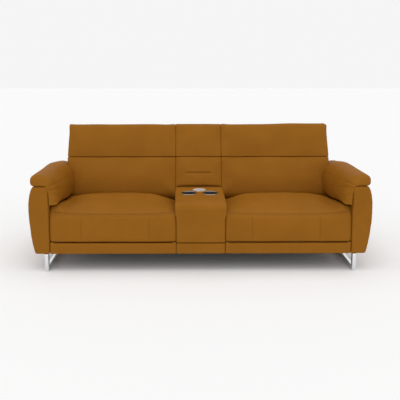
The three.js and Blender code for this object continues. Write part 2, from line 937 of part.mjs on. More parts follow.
// The leaf on the back frame: a strip on its rear face, two knuckles up to the pivot, two pins.
function fixedLeaf(centre, spread) {
  const inward = frameRearInward + fit.gap;
  const top = seamHeight - fit.gap;
  const low = top - headHinge.fixedLength;
  const lines = [inward, inward + headHinge.leaf];
  const reach = spread / 2 + headHinge.knuckle;
  const plate = [
    [backDepthAt(lines[0], low), low],
    [backDepthAt(lines[1], low), low],
    [backDepthAt(lines[1], top), top],
    [backDepthAt(lines[0], top), top],
  ];
  let made = solid(slab(plate, centre - reach, centre + reach));
  [-1, 1].forEach((end) => {
    const x = centre + (end * spread) / 2;
    const [from, to] = [x - headHinge.knuckle, x - fit.gap];
    const eye = crossPin(headHinge.eye, to - from, (from + to) / 2, headPivot.depth, headPivot.height, 16);
    const neck = slab(
      [
        [backDepthAt(lines[0], top - headHinge.eye), top - headHinge.eye],
        [backDepthAt(lines[1], top - headHinge.eye), top - headHinge.eye],
        [headPivot.depth + headHinge.leaf / 2, headPivot.height],
        [headPivot.depth - headHinge.leaf / 2, headPivot.height],
      ],
      from,
      to,
    );
    const pin = crossPin(
      headHinge.pin / 2,
      2 * headHinge.knuckle,
      x,
      headPivot.depth,
      headPivot.height,
      12,
    );
    made = made.add(solid(eye)).add(solid(neck)).add(solid(pin));
  });
  return geometryOf(made);
}

// The leaf on the headrest board, with a knuckle beside each fixed one.
function movingLeaf(centre, spread) {
  const reach = spread / 2 + headHinge.knuckle;
  const half = headHinge.leaf / 2;
  const low = headHinge.eye + fit.running + headBoard.fromHeel / 2;
  const plate = [
    headPoint(low, half),
    headPoint(low, -half),
    headPoint(headHinge.movingLength, -half),
    headPoint(headHinge.movingLength, half),
  ];
  let made = solid(slab(plate, centre - reach, centre + reach));
  [-1, 1].forEach((end) => {
    const x = centre + (end * spread) / 2;
    const [from, to] = [x + fit.gap, x + headHinge.knuckle];
    const eye = crossPin(headHinge.eye, to - from, (from + to) / 2, headPivot.depth, headPivot.height, 16);
    const neck = slab(
      [headPoint(0, half), headPoint(0, -half), headPoint(low + half, -half), headPoint(low + half, half)],
      from,
      to,
    );
    const bore = crossPin(
      headHinge.pin / 2 + fit.gap,
      to - from + fit.overrun,
      (from + to) / 2,
      headPivot.depth,
      headPivot.height,
      12,
    );
    made = made.add(solid(eye)).add(solid(neck)).subtract(solid(bore));
  });
  return geometryOf(made);
}

// Arms: an upholstered body with a pocket for its timber frame, and a pillow pad over the top

function buildArms() {
  const centreX = armInner + arm.footWidth / 2;
  sides.forEach(({ name, sign }) => {
    const corners = mirrored(
      [
        { at: [armInner, baseBottom], radius: 0 },
        { at: [armInner + arm.footWidth, baseBottom], radius: arm.edgeRadius / 2, steps: 2 },
        { at: [halfWidth, armBulgeHeight], radius: arm.outerRadius, steps: 6 },
        { at: [halfWidth - arm.bulge, armTop], radius: arm.edgeRadius / 2, steps: 2 },
        { at: [armInner, armTop], radius: arm.edgeRadius / 2, steps: 2 },
      ],
      sign,
    );
    const body = cushion({
      corners,
      longest: armTop,
      start: y(0),
      end: y(armLength),
      sideRadius: arm.edgeRadius,
      stations: 3,
    });
    turnAlongY(body);
    const from = sign * centreX - armFrame.thickness / 2;
    const start = y(armFrame.endRoom);
    const end = y(armLength - armFrame.endRoom);
    const low = baseBottom;
    const high = armTop - armFrame.topRoom;
    const pocket = box(
      [from - fit.gap, start - fit.gap, low - fit.overrun],
      [from + armFrame.thickness + fit.gap, end + fit.gap, high + fit.gap],
    );
    add(`arm_body_${name}`, geometryOf(solid(body).subtract(solid(pocket))), "leather");
    const panel = solid(box([from, start, low], [from + armFrame.thickness, end, high]));
    const window = solid(
      box(
        [from - fit.overrun, start + armFrame.border, low + armFrame.border],
        [from + armFrame.thickness + fit.overrun, end - armFrame.border, high - armFrame.border],
      ),
    );
    add(`arm_frame_${name}`, geometryOf(panel.subtract(window)), "timber");
    add(`arm_pad_${name}`, armPadForm(sign), "leather");
  });
}

function armPadForm(sign) {
  const under = armTop + fit.gap;
  const inner = armInner - armPad.drop;
  const corners = mirrored(
    [
      { at: [inner + armPad.rollRadius / 2, armPadBottom], radius: armPad.rollRadius / 2, steps: 2 },
      { at: [armInner - fit.gap, armPadBottom], radius: armPad.rollRadius / 4, steps: 2 },
      { at: [armInner - fit.gap, under], radius: 0 },
      { at: [halfWidth - armPad.overhang, under], radius: armPad.rollRadius, steps: 4 },
      { at: [halfWidth - armPad.overhang, armPadTop], radius: armPad.rollRadius, steps: 4 },
      { at: [inner + armPad.innerTop, armPadTop], radius: armPad.crestRadius, steps: 5 },
      { at: [inner, armTop - armPad.crestRadius], radius: armPad.crestRadius, steps: 3 },
    ],
    sign,
  );
  const pad = cushion({
    corners,
    longest: arm.width,
    start: y(0),
    end: y(armLength),
    sideRadius: armPad.endRadius,
    stations: 4,
  });
  return geometryOf(solid(turnAlongY(pad)).subtract(solid(backRoom(sign))));
}

// The room of the leaning back, which the inner drop of an arm pad stops in front of.
function backRoom(sign) {
  const low = armPadBottom - fit.overrun;
  const high = armPadTop + fit.overrun;
  const behind = armLength + fit.overrun;
  const side = [
    [backDepthAt(-armPad.backClearance, low), low],
    [behind, low],
    [behind, high],
    [backDepthAt(-armPad.backClearance, high), high],
  ];
  const inner = armInner - armPad.drop - fit.overrun;
  const [fromX, toX] = sign > 0 ? [inner, armInner] : [-armInner, -inner];
  return slab(side, fromX, toX);
}

// An outline for the left side from the one for the right.
function mirrored(corners, sign) {
  return corners.map((corner) => ({ ...corner, at: [sign * corner.at[0], corner.at[1]] }));
}

// A form swept along X is laid along Y, its outline's first axis along X.
function turnAlongY(geometry) {
  geometry.applyMatrix4(new THREE.Matrix4().set(0, 1, 0, 0, 1, 0, 0, 0, 0, 0, 1, 0, 0, 0, 0, 1));
  return facingOut(geometry);
}

// Drop-down console: a padded slab with two cups and a round charger, on a hinge at its rear

function buildConsole() {
  const bottom = consoleBottom;
  const shelf = bottom + consoleBase.thickness + fit.gap;
  const front = consolePad.noseDepth;
  const half = consoleHalf;
  const corners = [
    { at: [y(front), bottom], radius: consolePad.lipRadius, steps: 3 },
    { at: [y(consoleRear), bottom], radius: consolePad.rearRadius, steps: 2 },
    { at: [y(consoleRear), consoleTop], radius: consolePad.rearRadius, steps: 3 },
    { at: [y(front), consoleTop], radius: consolePad.noseRadius, steps: 6 },
  ];
  const block = cushion({
    corners,
    longest: consoleRear,
    start: -half,
    end: half,
    sideRadius: consolePad.sideRadius,
    stations: 1,
  });
  const lip = consolePad.lip;
  const recess = box(
    [lip - half, y(front + lip), bottom - fit.overrun],
    [half - lip, y(consoleRear + fit.overrun), shelf],
  );
  let pad = solid(block).subtract(solid(recess));
  const cupBottom = shelf + cup.aboveBase;
  sides.forEach(({ name, sign }) => {
    const x = (sign * cup.spacing) / 2;
    const well = disc(
      cup.outerRadius + fit.gap,
      x,
      cupDepth,
      cupBottom - fit.gap,
      consolePad.thickness,
      cup.sides,
    );
    pad = pad.subtract(solid(well));
    add(`cup_liner_${name}`, cupLiner(x, cupBottom), "darkPlastic");
    add(`cup_ring_${name}`, cupRing(x), "chrome");
    const hingeX = (sign * hingeSpread) / 2;
    pad = pad.subtract(solid(hingeNotch(hingeX, bottom)));
  });
  pad = pad.subtract(solid(strapGroove(shelf)));
  const dish = disc(
    charger.radius + fit.gap,
    0,
    hingeDepth - charger.frontOfHinge,
    consoleTop - charger.recess,
    charger.thickness,
    charger.sides,
  );
  add("console_cushion", geometryOf(pad.subtract(solid(dish))), "leather");
  const clear = lip + fit.gap;
  add(
    "console_base",
    box(
      [clear - half, y(front + clear), bottom],
      [half - clear, y(hingeDepth - consoleBase.frontOfHinge), bottom + consoleBase.thickness],
    ),
    "leather",
  );
  add("charging_pad", chargingPad(), "brushed");
}

function lathed(profile, x, depth, steps) {
  const geometry = new THREE.LatheGeometry(
    profile.map(([radius, z]) => new THREE.Vector2(radius, z)),
    steps,
  );
  return facingOut(mergedLathe(geometry.rotateX(Math.PI / 2).translate(x, y(depth), 0)));
}

function mergedLathe(geometry) {
  geometry.deleteAttribute("normal");
  geometry.deleteAttribute("uv");
  return mergeVertices(geometry, fit.gap / 100);
}

function cupLiner(x, bottom) {
  const top = consoleTop + cup.rimOver;
  const inner = cup.outerRadius - cup.wall;
  const profile = [
    [0, bottom],
    [cup.outerRadius, bottom],
    [cup.outerRadius, top],
    [inner, top],
    [inner, bottom + cup.wall],
    [0, bottom + cup.wall],
  ];
  return lathed(profile, x, cupDepth, cup.sides);
}

function cupRing(x) {
  const inner = cup.outerRadius + fit.gap;
  const low = consoleTop + fit.gap;
  const high = low + ring.height;
  const profile = [
    [inner, low],
    [ringRadius, low],
    [ringRadius, high - ring.bevel],
    [ringRadius - ring.bevel, high],
    [inner, high],
    [inner, low],
  ];
  return lathed(profile, x, cupDepth, cup.sides);
}

function chargingPad() {
  const low = consoleTop - charger.recess + fit.gap;
  const high = low + charger.thickness;
  const profile = [
    [0, low],
    [charger.radius, low],
    [charger.radius, high - charger.bevel],
    [charger.radius - charger.bevel, high],
    [0, high],
  ];
  return lathed(profile, 0, hingeDepth - charger.frontOfHinge, charger.sides);
}

// The room that a hinge ear and its bracket need in the pad, open below and behind.
function hingeNotch(x, bottom) {
  const front = hingeDepth - consoleHinge.earReach - fit.running;
  return box(
    [x - consoleHinge.slot, y(front), bottom - fit.overrun],
    [
      x + consoleHinge.slot,
      y(consoleRear + fit.overrun),
      hingeHeight + Math.hypot(consoleHinge.barWidth / 2, consolePad.behindHinge) + fit.running,
    ],
  );
}

// The groove in the pad over the strap that joins the two hinge ears.
function strapGroove(shelf) {
  const half = hingeSpread / 2 + consoleHinge.plate + 2 * fit.gap;
  const front = hingeDepth - consoleHinge.earReach - fit.gap;
  return box(
    [-half, y(front), shelf - fit.overrun],
    [half, y(front + consoleHinge.foot + 2 * fit.gap), shelf + consoleHinge.footPlate + fit.gap],
  );
}

// The console's hinge: a plate with two ears on its base, and a fixed bracket with two pins

function buildConsoleHinge() {
  const plateLow = consoleBottom + consoleBase.thickness + fit.gap;
  const half = hingeSpread / 2;
  const earFront = hingeDepth - consoleHinge.earReach;
  let ears;
  let bracket = solid(
    box(
      [-half - consoleHinge.slot / 2, y(middleSeatDepth + 2 * fit.gap), railTop + fit.gap],
      [
        half + consoleHinge.slot / 2,
        y(middleSeatDepth + consoleHinge.foot + consoleHinge.barWidth),
        railTop + fit.gap + consoleHinge.footPlate,
      ],
    ),
  );
  sides.forEach(({ sign }) => {
    const earFrom = sign > 0 ? half + fit.gap : -half - fit.gap - consoleHinge.plate;
    const barFrom = sign > 0 ? half - fit.gap - consoleHinge.plate : -half + fit.gap;
    const ear = consoleEar(earFrom, earFront, plateLow, sign);
    ears = ears ? ears.add(ear) : ear;
    bracket = bracket.add(consoleBar(barFrom, sign));
  });
  const strap = box(
    [-half - consoleHinge.plate, y(earFront), plateLow],
    [half + consoleHinge.plate, y(earFront + consoleHinge.foot), plateLow + consoleHinge.footPlate],
  );
  add("console_hinge_ears", geometryOf(ears.add(solid(strap))), "steel");
  add("console_hinge_bracket", geometryOf(bracket), "steel");
}

// One ear: an eye round the pin, on an arm that comes up from the strap.
function consoleEar(fromX, front, low, sign) {
  const { eye, plate, pin, foot, footPlate } = consoleHinge;
  const middle = fromX + plate / 2;
  const arm_ = slab(
    [
      [front, low],
      [front + foot, low],
      [hingeDepth, hingeHeight - eye / 2],
      [hingeDepth, hingeHeight + eye / 2],
      [front, low + footPlate],
    ],
    fromX,
    fromX + plate,
  );
  const bore = crossPin(pin / 2 + fit.gap, plate + 2 * fit.overrun, middle, hingeDepth, hingeHeight, 12);
  return solid(arm_)
    .add(solid(crossPin(eye, plate, middle, hingeDepth, hingeHeight, 16)))
    .subtract(solid(bore));
}

// One upright of the bracket, with the pin that its ear turns on.
function consoleBar(fromX, sign) {
  const { barWidth, plate, pin } = consoleHinge;
  const front = hingeDepth - barWidth / 2 + fit.running;
  const rear = hingeDepth + barWidth / 2;
  const upright = slab(
    [
      [front, railTop + fit.gap],
      [rear, railTop + fit.gap],
      [rear, hingeHeight],
      [front, hingeHeight],
    ],
    fromX,
    fromX + plate,
  );
  const radius = barWidth / 2 - fit.running;
  const crown = crossPin(radius, plate, fromX + plate / 2, hingeDepth, hingeHeight, 16);
  const reach = 2 * plate + 3 * fit.gap;
  const start = sign > 0 ? fromX : fromX + plate - reach;
  const stub = crossPin(pin / 2, reach, start + reach / 2, hingeDepth, hingeHeight, 12);
  return solid(upright).add(solid(crown)).add(solid(stub));
}

buildLegs();
buildBase();
buildBands();
buildSeats();
buildLumbars();
buildBackFrames();
buildBackShells();
buildHeadrests();
buildArms();
buildConsole();
buildConsoleHinge();

export default sofa;
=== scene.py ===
"""Two-seat leather sofa with a drop-down console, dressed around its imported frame.

Lengths are metres in the frame's own axes: +X to the right seen from the front, +Y to the back
and +Z up. Each class makes one sub-assembly of the sofa, in the order of a workshop.
"""

import json
import logging
import math
from contextlib import contextmanager
from dataclasses import dataclass
from enum import Enum
from typing import Callable, Iterable, Iterator

import bpy
import numpy as np
from mathutils import Matrix, Vector, noise


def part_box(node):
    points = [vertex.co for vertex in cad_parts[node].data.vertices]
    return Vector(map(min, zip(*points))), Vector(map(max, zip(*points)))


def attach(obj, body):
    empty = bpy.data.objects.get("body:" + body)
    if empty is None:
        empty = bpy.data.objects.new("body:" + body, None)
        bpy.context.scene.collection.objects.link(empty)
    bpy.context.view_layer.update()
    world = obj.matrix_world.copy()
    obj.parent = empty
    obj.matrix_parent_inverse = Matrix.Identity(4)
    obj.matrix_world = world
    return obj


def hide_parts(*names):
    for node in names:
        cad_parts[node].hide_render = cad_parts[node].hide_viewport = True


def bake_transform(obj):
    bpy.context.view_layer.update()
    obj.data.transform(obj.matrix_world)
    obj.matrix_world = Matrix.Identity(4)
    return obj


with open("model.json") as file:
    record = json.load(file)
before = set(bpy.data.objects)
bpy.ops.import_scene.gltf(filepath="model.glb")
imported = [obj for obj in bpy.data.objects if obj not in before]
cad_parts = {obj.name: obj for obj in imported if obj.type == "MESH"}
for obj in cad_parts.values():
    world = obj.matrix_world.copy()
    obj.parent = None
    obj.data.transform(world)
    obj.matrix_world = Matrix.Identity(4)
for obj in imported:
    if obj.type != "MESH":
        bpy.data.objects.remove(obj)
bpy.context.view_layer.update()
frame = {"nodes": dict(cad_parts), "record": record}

MM = 0.001
SQUARE = 0.9  # a face or an edge whose direction has this share along an axis is square to it
LOG = logging.getLogger("sofa")

Piece = bpy.types.Object
Test = Callable[[Vector, Vector], bool]


class Pick(Enum):
    """What a selection takes, as Blender's three select modes."""

    POINTS = (True, False, False)
    EDGES = (False, True, False)
    FACES = (False, False, True)


class Side(Enum):
    """The two halves of the sofa, with the sign of X on each."""

    LEFT = -1
    RIGHT = 1

    @property
    def word(self) -> str:
        """The side's name, as the frame's nodes spell it."""
        return self.name.lower()


# Work on one mesh


def only(piece: Piece) -> None:
    """Makes a piece the only one that operators act on."""
    bpy.ops.object.select_all(action="DESELECT")
    piece.select_set(True)
    bpy.context.view_layer.objects.active = piece


@contextmanager
def picked(piece: Piece, kind: Pick, test: Test) -> Iterator[None]:
    """Holds edit mode open with the points, edges or faces selected that pass a test.

    Args:
        piece: The mesh to select on.
        kind: What is selected.
        test: Takes the middle of each, and its normal, or the direction of an edge.
    """
    only(piece)
    mesh = piece.data
    for group in (mesh.vertices, mesh.edges, mesh.polygons):
        group.foreach_set("select", [False] * len(group))
    if kind is Pick.POINTS:
        for point in mesh.vertices:
            point.select = test(point.co, point.normal)
    elif kind is Pick.EDGES:
        for edge in mesh.edges:
            a, b = (mesh.vertices[i].co for i in edge.vertices)
            edge.select = test((a + b) / 2, (b - a).normalized())
    else:
        for face in mesh.polygons:
            face.select = test(face.center, face.normal)
    bpy.context.tool_settings.mesh_select_mode = kind.value
    bpy.ops.object.mode_set(mode="EDIT")
    yield
    bpy.ops.object.mode_set(mode="OBJECT")


def settle(piece: Piece, name: str) -> Piece:
    """Names a piece and puts its place, turn and scale into its mesh.

    Args:
        piece: The new piece.
        name: Its name.

    Returns:
        The same piece.
    """
    only(piece)
    bpy.ops.object.transform_apply(location=True, rotation=True, scale=True)
    piece.name = name
    piece.data.name = name
    return piece


def started(name: str, add: Callable, scale: Iterable[float] = (1, 1, 1), **settings: object) -> Piece:
    """Adds a primitive with nothing else selected, and settles it.

    Args:
        name: The piece's name.
        add: Blender's operator that adds the primitive.
        scale: How it is stretched along each axis.
        settings: The operator's own settings.

    Returns:
        The new piece.
    """
    bpy.ops.object.select_all(action="DESELECT")
    add(**settings)
    piece = bpy.context.object
    piece.scale = scale
    return settle(piece, name)


def block(name: str, low: Iterable[float], high: Iterable[float]) -> Piece:
    """Adds a cube stretched between its lowest and its highest corner."""
    low, high = Vector(low), Vector(high)
    return started(name, bpy.ops.mesh.primitive_cube_add, high - low, size=1, location=(low + high) / 2)


def drum(name: str, radius: float, centre: Vector, height: float) -> Piece:
    """Adds an upright cylinder of 96 sides that stands on the middle of its underside."""
    middle = centre + Vector((0, 0, height / 2))
    add = bpy.ops.mesh.primitive_cylinder_add
    return started(name, add, vertices=96, radius=radius, depth=height, location=middle)


def modify(piece: Piece, kind: str, **settings: object) -> None:
    """Adds a modifier with its settings and applies it.

    Args:
        piece: The piece to change.
        kind: Blender's name of the modifier type.
        settings: The modifier's own settings.
    """
    only(piece)
    made = piece.modifiers.new(kind.title(), kind)
    for name, value in settings.items():
        setattr(made, name, value)
    bpy.ops.object.modifier_apply(modifier=made.name)


def ease(piece: Piece, width: float, segments: int = 3, sharp: float = 0.5) -> None:
    """Rounds the edges of a hard piece off.

    Args:
        piece: The piece.
        width: How far the rounding reaches.
        segments: How many faces it has across.
        sharp: The angle past which an edge is rounded, in radians.
    """
    modify(
        piece, "BEVEL", width=width, segments=segments, limit_method="ANGLE", angle_limit=sharp
    )


def positions(piece: Piece, kind: str = "co") -> np.ndarray:
    """The places of a mesh's points, or their normals for the kind normal, one row each."""
    found = np.empty(len(piece.data.vertices) * 3)
    piece.data.vertices.foreach_get(kind, found)
    return found.reshape(-1, 3)


def move_to(piece: Piece, places: np.ndarray) -> None:
    """Moves a mesh's points to new places, one row each."""
    piece.data.vertices.foreach_set("co", places.ravel())
    piece.data.update()


def face_out(piece: Piece) -> None:
    """Turns all the faces of a closed mesh outwards."""
    with picked(piece, Pick.FACES, lambda at, way: True):
        bpy.ops.mesh.normals_make_consistent(inside=False)


def mirrored(piece: Piece, name: str) -> Piece:
    """Copies a piece, with its own mesh, to the other side of the sofa.

    Args:
        piece: The piece to copy.
        name: The copy's name.

    Returns:
        The copy.
    """
    only(piece)
    bpy.ops.object.duplicate(linked=False)
    copy = bpy.context.object
    copy.scale = (-1, 1, 1)
    settle(copy, name)
    face_out(copy)
    return copy


def shade(piece: Piece, angle: float = 180.0) -> None:
    """Shades a piece smooth, but for the edges sharper than an angle in degrees."""
    only(piece)
    if angle >= 180:
        bpy.ops.object.shade_smooth()
    else:
        bpy.ops.object.shade_smooth_by_angle(angle=math.radians(angle))


# Finishes


def linear(code: str) -> tuple[float, float, float, float]:
    """Turns an sRGB hex value into the linear colour that shaders take."""
    channels = [int(code[i : i + 2], 16) / 255 for i in (0, 2, 4)]
    return (*(c / 12.92 if c <= 0.04045 else ((c + 0.055) / 1.055) ** 2.4 for c in channels), 1.0)


def node(
    tree: bpy.types.NodeTree,
    kind: str,
    settings: dict[str | int, object] | None = None,
    links: dict[str | int, bpy.types.NodeSocket] | None = None,
) -> bpy.types.Node:
    """Adds a shader node with its settings and links.

    Args:
        tree: The material's node tree.
        kind: The node's type, without its prefix.
        settings: Values for its sockets, by name or number, or for its own properties.
        links: The sockets that feed its inputs, by name or number.

    Returns:
        The new node.
    """
    made = tree.nodes.new("ShaderNode" + kind)
    for key, value in (settings or {}).items():
        if isinstance(key, str) and hasattr(made, key):
            setattr(made, key, value)
        else:
            made.inputs[key].default_value = value
    for key, socket in (links or {}).items():
        tree.links.new(socket, made.inputs[key])
    return made


def blank(name: str) -> tuple[bpy.types.Material, bpy.types.NodeTree]:
    """Adds a material whose node tree is empty, and gives both."""
    material = bpy.data.materials.new(name)
    material.use_nodes = True
    material.node_tree.nodes.clear()
    return material, material.node_tree


@dataclass(frozen=True)
class CorrectedLeather:
    """Pigmented cow leather with a corrected, embossed face: even in colour, satin, fine grain.

    The pigment coat hides the hide's own marks, so the eye gets one tan, a soft highlight and a
    pebble that only shows where light grazes it. Painted shade darkens seams, folds and tucks.
    """

    name: str
    tan: str = "8c5916"
    worn: str = "97621d"
    # deep is the colour of the painted shade in seams, folds and tucks
    deep: str = "3f2205"
    roughness: float = 0.56
    pebble: float = 1.6 * MM  # grain width, drawn a little coarse so that it shows
    pebble_height: float = 0.35 * MM
    pore: float = 0.5 * MM
    pore_height: float = 0.12 * MM
    cloud: float = 160 * MM  # size of the faint patches of colour

    def make(self) -> bpy.types.Material:
        """Builds the material.

        Returns:
            The material, which reads object coordinates and the mesh attribute seam.
        """
        material, tree = blank(self.name)
        place = {"Vector": node(tree, "TexCoord").outputs["Object"]}
        cloud = node(tree, "TexNoise", {"Scale": 1 / self.cloud, "Detail": 3.0}, place)
        clouded = {"Value": cloud.outputs["Fac"]}
        patch = node(tree, "MapRange", {"From Min": 0.35, "From Max": 0.7, "To Max": 0.5}, clouded)
        tans = {"data_type": "RGBA", 6: linear(self.tan), 7: linear(self.worn)}
        tone = node(tree, "Mix", tans, {0: patch.outputs["Result"]})
        # Painted shade: the seam attribute mixes the tan towards deep along seams, folds and tucks.
        seam = node(tree, "Attribute", {"attribute_name": "seam"})
        painted_shade_mix = {"data_type": "RGBA", 7: linear(self.deep)}
        colour = node(tree, "Mix", painted_shade_mix, {0: seam.outputs["Fac"], 6: tone.outputs[2]})
        cells = {"feature": "DISTANCE_TO_EDGE", "Scale": 1 / self.pebble, "Randomness": 0.9}
        pebble = node(tree, "TexVoronoi", cells, place)
        rounded = node(tree, "MapRange", {"From Max": 0.35}, {"Value": pebble.outputs["Distance"]})
        pore = node(tree, "TexNoise", {"Scale": 1 / self.pore, "Detail": 2.0}, place)
        embossing = {"Strength": 0.22, "Distance": self.pebble_height}
        coarse = node(tree, "Bump", embossing, {"Height": rounded.outputs["Result"]})
        fine = node(
            tree,
            "Bump",
            {"Strength": 0.12, "Distance": self.pore_height},
            {"Height": pore.outputs["Fac"], "Normal": coarse.outputs["Normal"]},
        )
        range_of_gloss = {"To Min": self.roughness - 0.05, "To Max": self.roughness + 0.07}
        gloss = node(tree, "MapRange", range_of_gloss, clouded)
        skin = node(
            tree,
            "BsdfPrincipled",
            {"IOR": 1.5, "Specular IOR Level": 0.06},
            {
                "Base Color": colour.outputs[2],
                "Roughness": gloss.outputs["Result"],
                "Normal": fine.outputs["Normal"],
            },
        )
        node(tree, "OutputMaterial", {}, {"Surface": skin.outputs["BSDF"]})
        return material


@dataclass(frozen=True)
class Toothed:
    """A surface of one colour, whose gloss and relief follow one fine pattern.

    Attributes:
        name: The material's name.
        colour: Its sRGB colour.
        roughness: Its middle roughness.
        relief: How strongly the pattern shows as relief.
    """

    name: str
    colour: str
    roughness: float
    relief: float

    def coated(
        self,
        material: bpy.types.Material,
        pattern: bpy.types.NodeSocket,
        gloss: tuple[float, float],
        height: float,
        **body: float,
    ) -> bpy.types.Material:
        """Builds the surface on its pattern.

        Args:
            material: The material, which holds the pattern's nodes.
            pattern: The pattern's socket.
            gloss: The least and the most roughness.
            height: How high the pattern stands.
            body: The shader's own settings, such as its IOR.

        Returns:
            The same material.
        """
        tree = material.node_tree
        shine = node(tree, "MapRange", {"To Min": gloss[0], "To Max": gloss[1]}, {"Value": pattern})
        bump = node(tree, "Bump", {"Strength": self.relief, "Distance": height}, {"Height": pattern})
        surface = node(
            tree,
            "BsdfPrincipled",
            {"Base Color": linear(self.colour), **body},
            {"Roughness": shine.outputs["Result"], "Normal": bump.outputs["Normal"]},
        )
        node(tree, "OutputMaterial", {}, {"Surface": surface.outputs["BSDF"]})
        return material


@dataclass(frozen=True)
class Metal(Toothed):
    """Bare or plated metal, polished, brushed or drawn.

    Polished chrome plate mirrors the room with hardly a mark. Brushing and drawing leave fine
    lines that spread the highlight across them.
    """

    relief: float = 0.05
    metallic: float = 1.0
    line: float = 1.2 * MM  # width of a brush line, drawn coarse enough to show

    def make(self) -> bpy.types.Material:
        """Builds the material."""
        material, tree = blank(self.name)
        place = {"Vector": node(tree, "TexCoord").outputs["Object"]}
        lines = node(tree, "TexNoise", {"Scale": 1 / self.line, "Detail": 2.0}, place).outputs["Fac"]
        gloss = (self.roughness * 0.8, self.roughness * 1.25)
        return self.coated(material, lines, gloss, 0.1 * MM, Metallic=self.metallic)


@dataclass(frozen=True)
class Plain(Toothed):
    """Moulded ABS, thread or non-woven lining: one colour, with the tooth of its surface."""

    relief: float = 0.2
    tooth: float = 0.8 * MM

    def make(self) -> bpy.types.Material:
        """Builds the material."""
        material, tree = blank(self.name)
        place = {"Vector": node(tree, "TexCoord").outputs["Object"]}
        tooth = node(tree, "TexNoise", {"Scale": 1 / self.tooth, "Detail": 3.0}, place).outputs["Fac"]
        gloss = (self.roughness - 0.06, min(1.0, self.roughness + 0.06))
        return self.coated(material, tooth, gloss, 0.2 * MM, IOR=1.5)


@dataclass(frozen=True)
class PlanedPine:
    """Planed pine battens, unfinished: pale, matte, with darker late-wood lines along X."""

    name: str
    early: str = "d8b681"
    late: str = "a97b45"
    ring: float = 7 * MM

    def make(self) -> bpy.types.Material:
        """Builds the material from stretched, slightly wandering rings."""
        material, tree = blank(self.name)
        place = {"Vector": node(tree, "TexCoord").outputs["Object"]}
        grain = node(tree, "Mapping", {"Scale": (0.06, 1.0, 1.0)}, place)
        growth = {"wave_type": "RINGS", "Scale": 0.3 / self.ring, "Distortion": 6.0, "Detail": 3.0}
        rings = node(tree, "TexWave", growth, {"Vector": grain.outputs["Vector"]}).outputs["Fac"]
        woods = {"data_type": "RGBA", 6: linear(self.early), 7: linear(self.late)}
        colour = node(tree, "Mix", woods, {0: rings})
        relief = node(tree, "Bump", {"Strength": 0.15, "Distance": 0.2 * MM}, {"Height": rings})
        links = {"Base Color": colour.outputs[2], "Normal": relief.outputs["Normal"]}
        wood = node(tree, "BsdfPrincipled", {"Roughness": 0.7}, links)
        node(tree, "OutputMaterial", {}, {"Surface": wood.outputs["BSDF"]})
        return material


class Store:
    """The materials of the sofa: one for each slot of the record, and the thread's."""

    def __init__(self) -> None:
        """Makes every finish once."""
        finishes = {
            "leather": CorrectedLeather("tan_leather"),
            "leg_chrome": Metal("polished_chrome", "e4e6e8", 0.07, relief=0.01),
            "ring_chrome": Metal("satin_chrome_trim", "b9bbbe", 0.2, relief=0.02),
            "charger_metal": Metal("bead_blasted_aluminium", "c4c1bc", 0.5, metallic=0.45),
            "dark_plastic": Plain("moulded_black_abs", "26211c", 0.38),
            "timber": PlanedPine("planed_pine"),
            "spring_steel": Metal("drawn_spring_wire", "5c5f63", 0.38),
            "hinge_steel": Metal("zinc_plated_steel", "8d9093", 0.33),
            "lining": Plain("black_non_woven_lining", "1b1a19", 0.95, tooth=2.5 * MM, relief=0.6),
            "thread": Plain("bonded_nylon_thread", "86540f", 0.6, tooth=0.4 * MM),
        }
        self._made = {key: finish.make() for key, finish in finishes.items()}

    def dress(self, piece: Piece, slot: str, finish: str = "") -> None:
        """Gives a piece its finish: the slot's own, or the one named.

        Args:
            piece: The piece to dress.
            slot: One of the record's slots.
            finish: The finish, where it isn't the slot's own.
        """
        piece.data.materials.clear()
        piece.data.materials.append(self._made[finish or slot])


# Upholstery


def ramp(value: np.ndarray | float, start: float, end: float) -> np.ndarray | float:
    """Rises smoothly from 0 at one value to 1 at another."""
    share = np.clip((value - start) / (end - start), 0, 1)
    return share * share * (3 - 2 * share)


@dataclass(frozen=True)
class Corner:
    """A corner of an outline.

    Attributes:
        across: Its place along Y, or along X on a form that runs along Y.
        up: Its height.
        reach: How far its rounding reaches along the edges beside it.
        rim: The rounding of the form's end edges from here to the next corner.
    """

    across: float
    up: float
    reach: float
    rim: float


@dataclass(frozen=True)
class Crease:
    """A line that draws the leather in, as a seam or a fold does, and paints shade along its middle.

    Attributes:
        middle: A point on it.
        along: Its direction.
        facing: The way that the skin faces where it runs.
        half: Half its length.
        width: Half the width of the groove.
        depth: How far it draws the skin in.
        painted_shade: How much painted shade darkens its middle, up to 1.
        bow: How far its middle lies off the straight, along along x facing.
        fade: The length over which its ends die out.
    """

    middle: tuple[float, float, float]
    along: tuple[float, float, float]
    facing: tuple[float, float, float]
    half: float
    width: float
    depth: float
    painted_shade: float
    bow: float = 0.0
    fade: float = 20 * MM

    def share(self, places: np.ndarray, facing: np.ndarray, width: float) -> np.ndarray:
        """How strongly the line acts on each point.

        Args:
            places: The points.
            facing: Their normals.
            width: The half width to use.

        Returns:
            A share from 0 to 1 for each point.
        """
        turned = 0.3
        along = np.array(Vector(self.along).normalized())
        out = np.array(Vector(self.facing).normalized())
        offset = places - np.array(self.middle)
        run = offset @ along
        off = offset @ np.cross(along, out) - self.bow * np.clip(1 - (run / self.half) ** 2, 0, 1)
        ends = ramp(self.half - np.abs(run), 0, self.fade)
        side = np.clip((facing @ out - turned) / turned, 0, 1)
        return np.exp(-((off / width) ** 2)) * ends * side


def draw_in(piece: Piece, creases: Iterable[Crease]) -> None:
    """Draws creases into a fine mesh and paints their shade into its seam attribute."""
    painted_shade_width = 0.6
    places, facing = positions(piece), positions(piece, "normal")
    drop = np.zeros(len(places))
    painted_shade = np.zeros(len(places))
    for crease in creases:
        drop = np.maximum(drop, crease.depth * crease.share(places, facing, crease.width))
        # Painted shade: each crease darkens the middle of its groove in the seam attribute.
        mark = crease.share(places, facing, painted_shade_width * crease.width)
        painted_shade = np.maximum(painted_shade, crease.painted_shade * mark)
    seam = piece.data.attributes.new("seam", "FLOAT", "POINT")
    seam.data.foreach_set("value", painted_shade.astype(np.float32))
    move_to(piece, places - facing * drop[:, None])


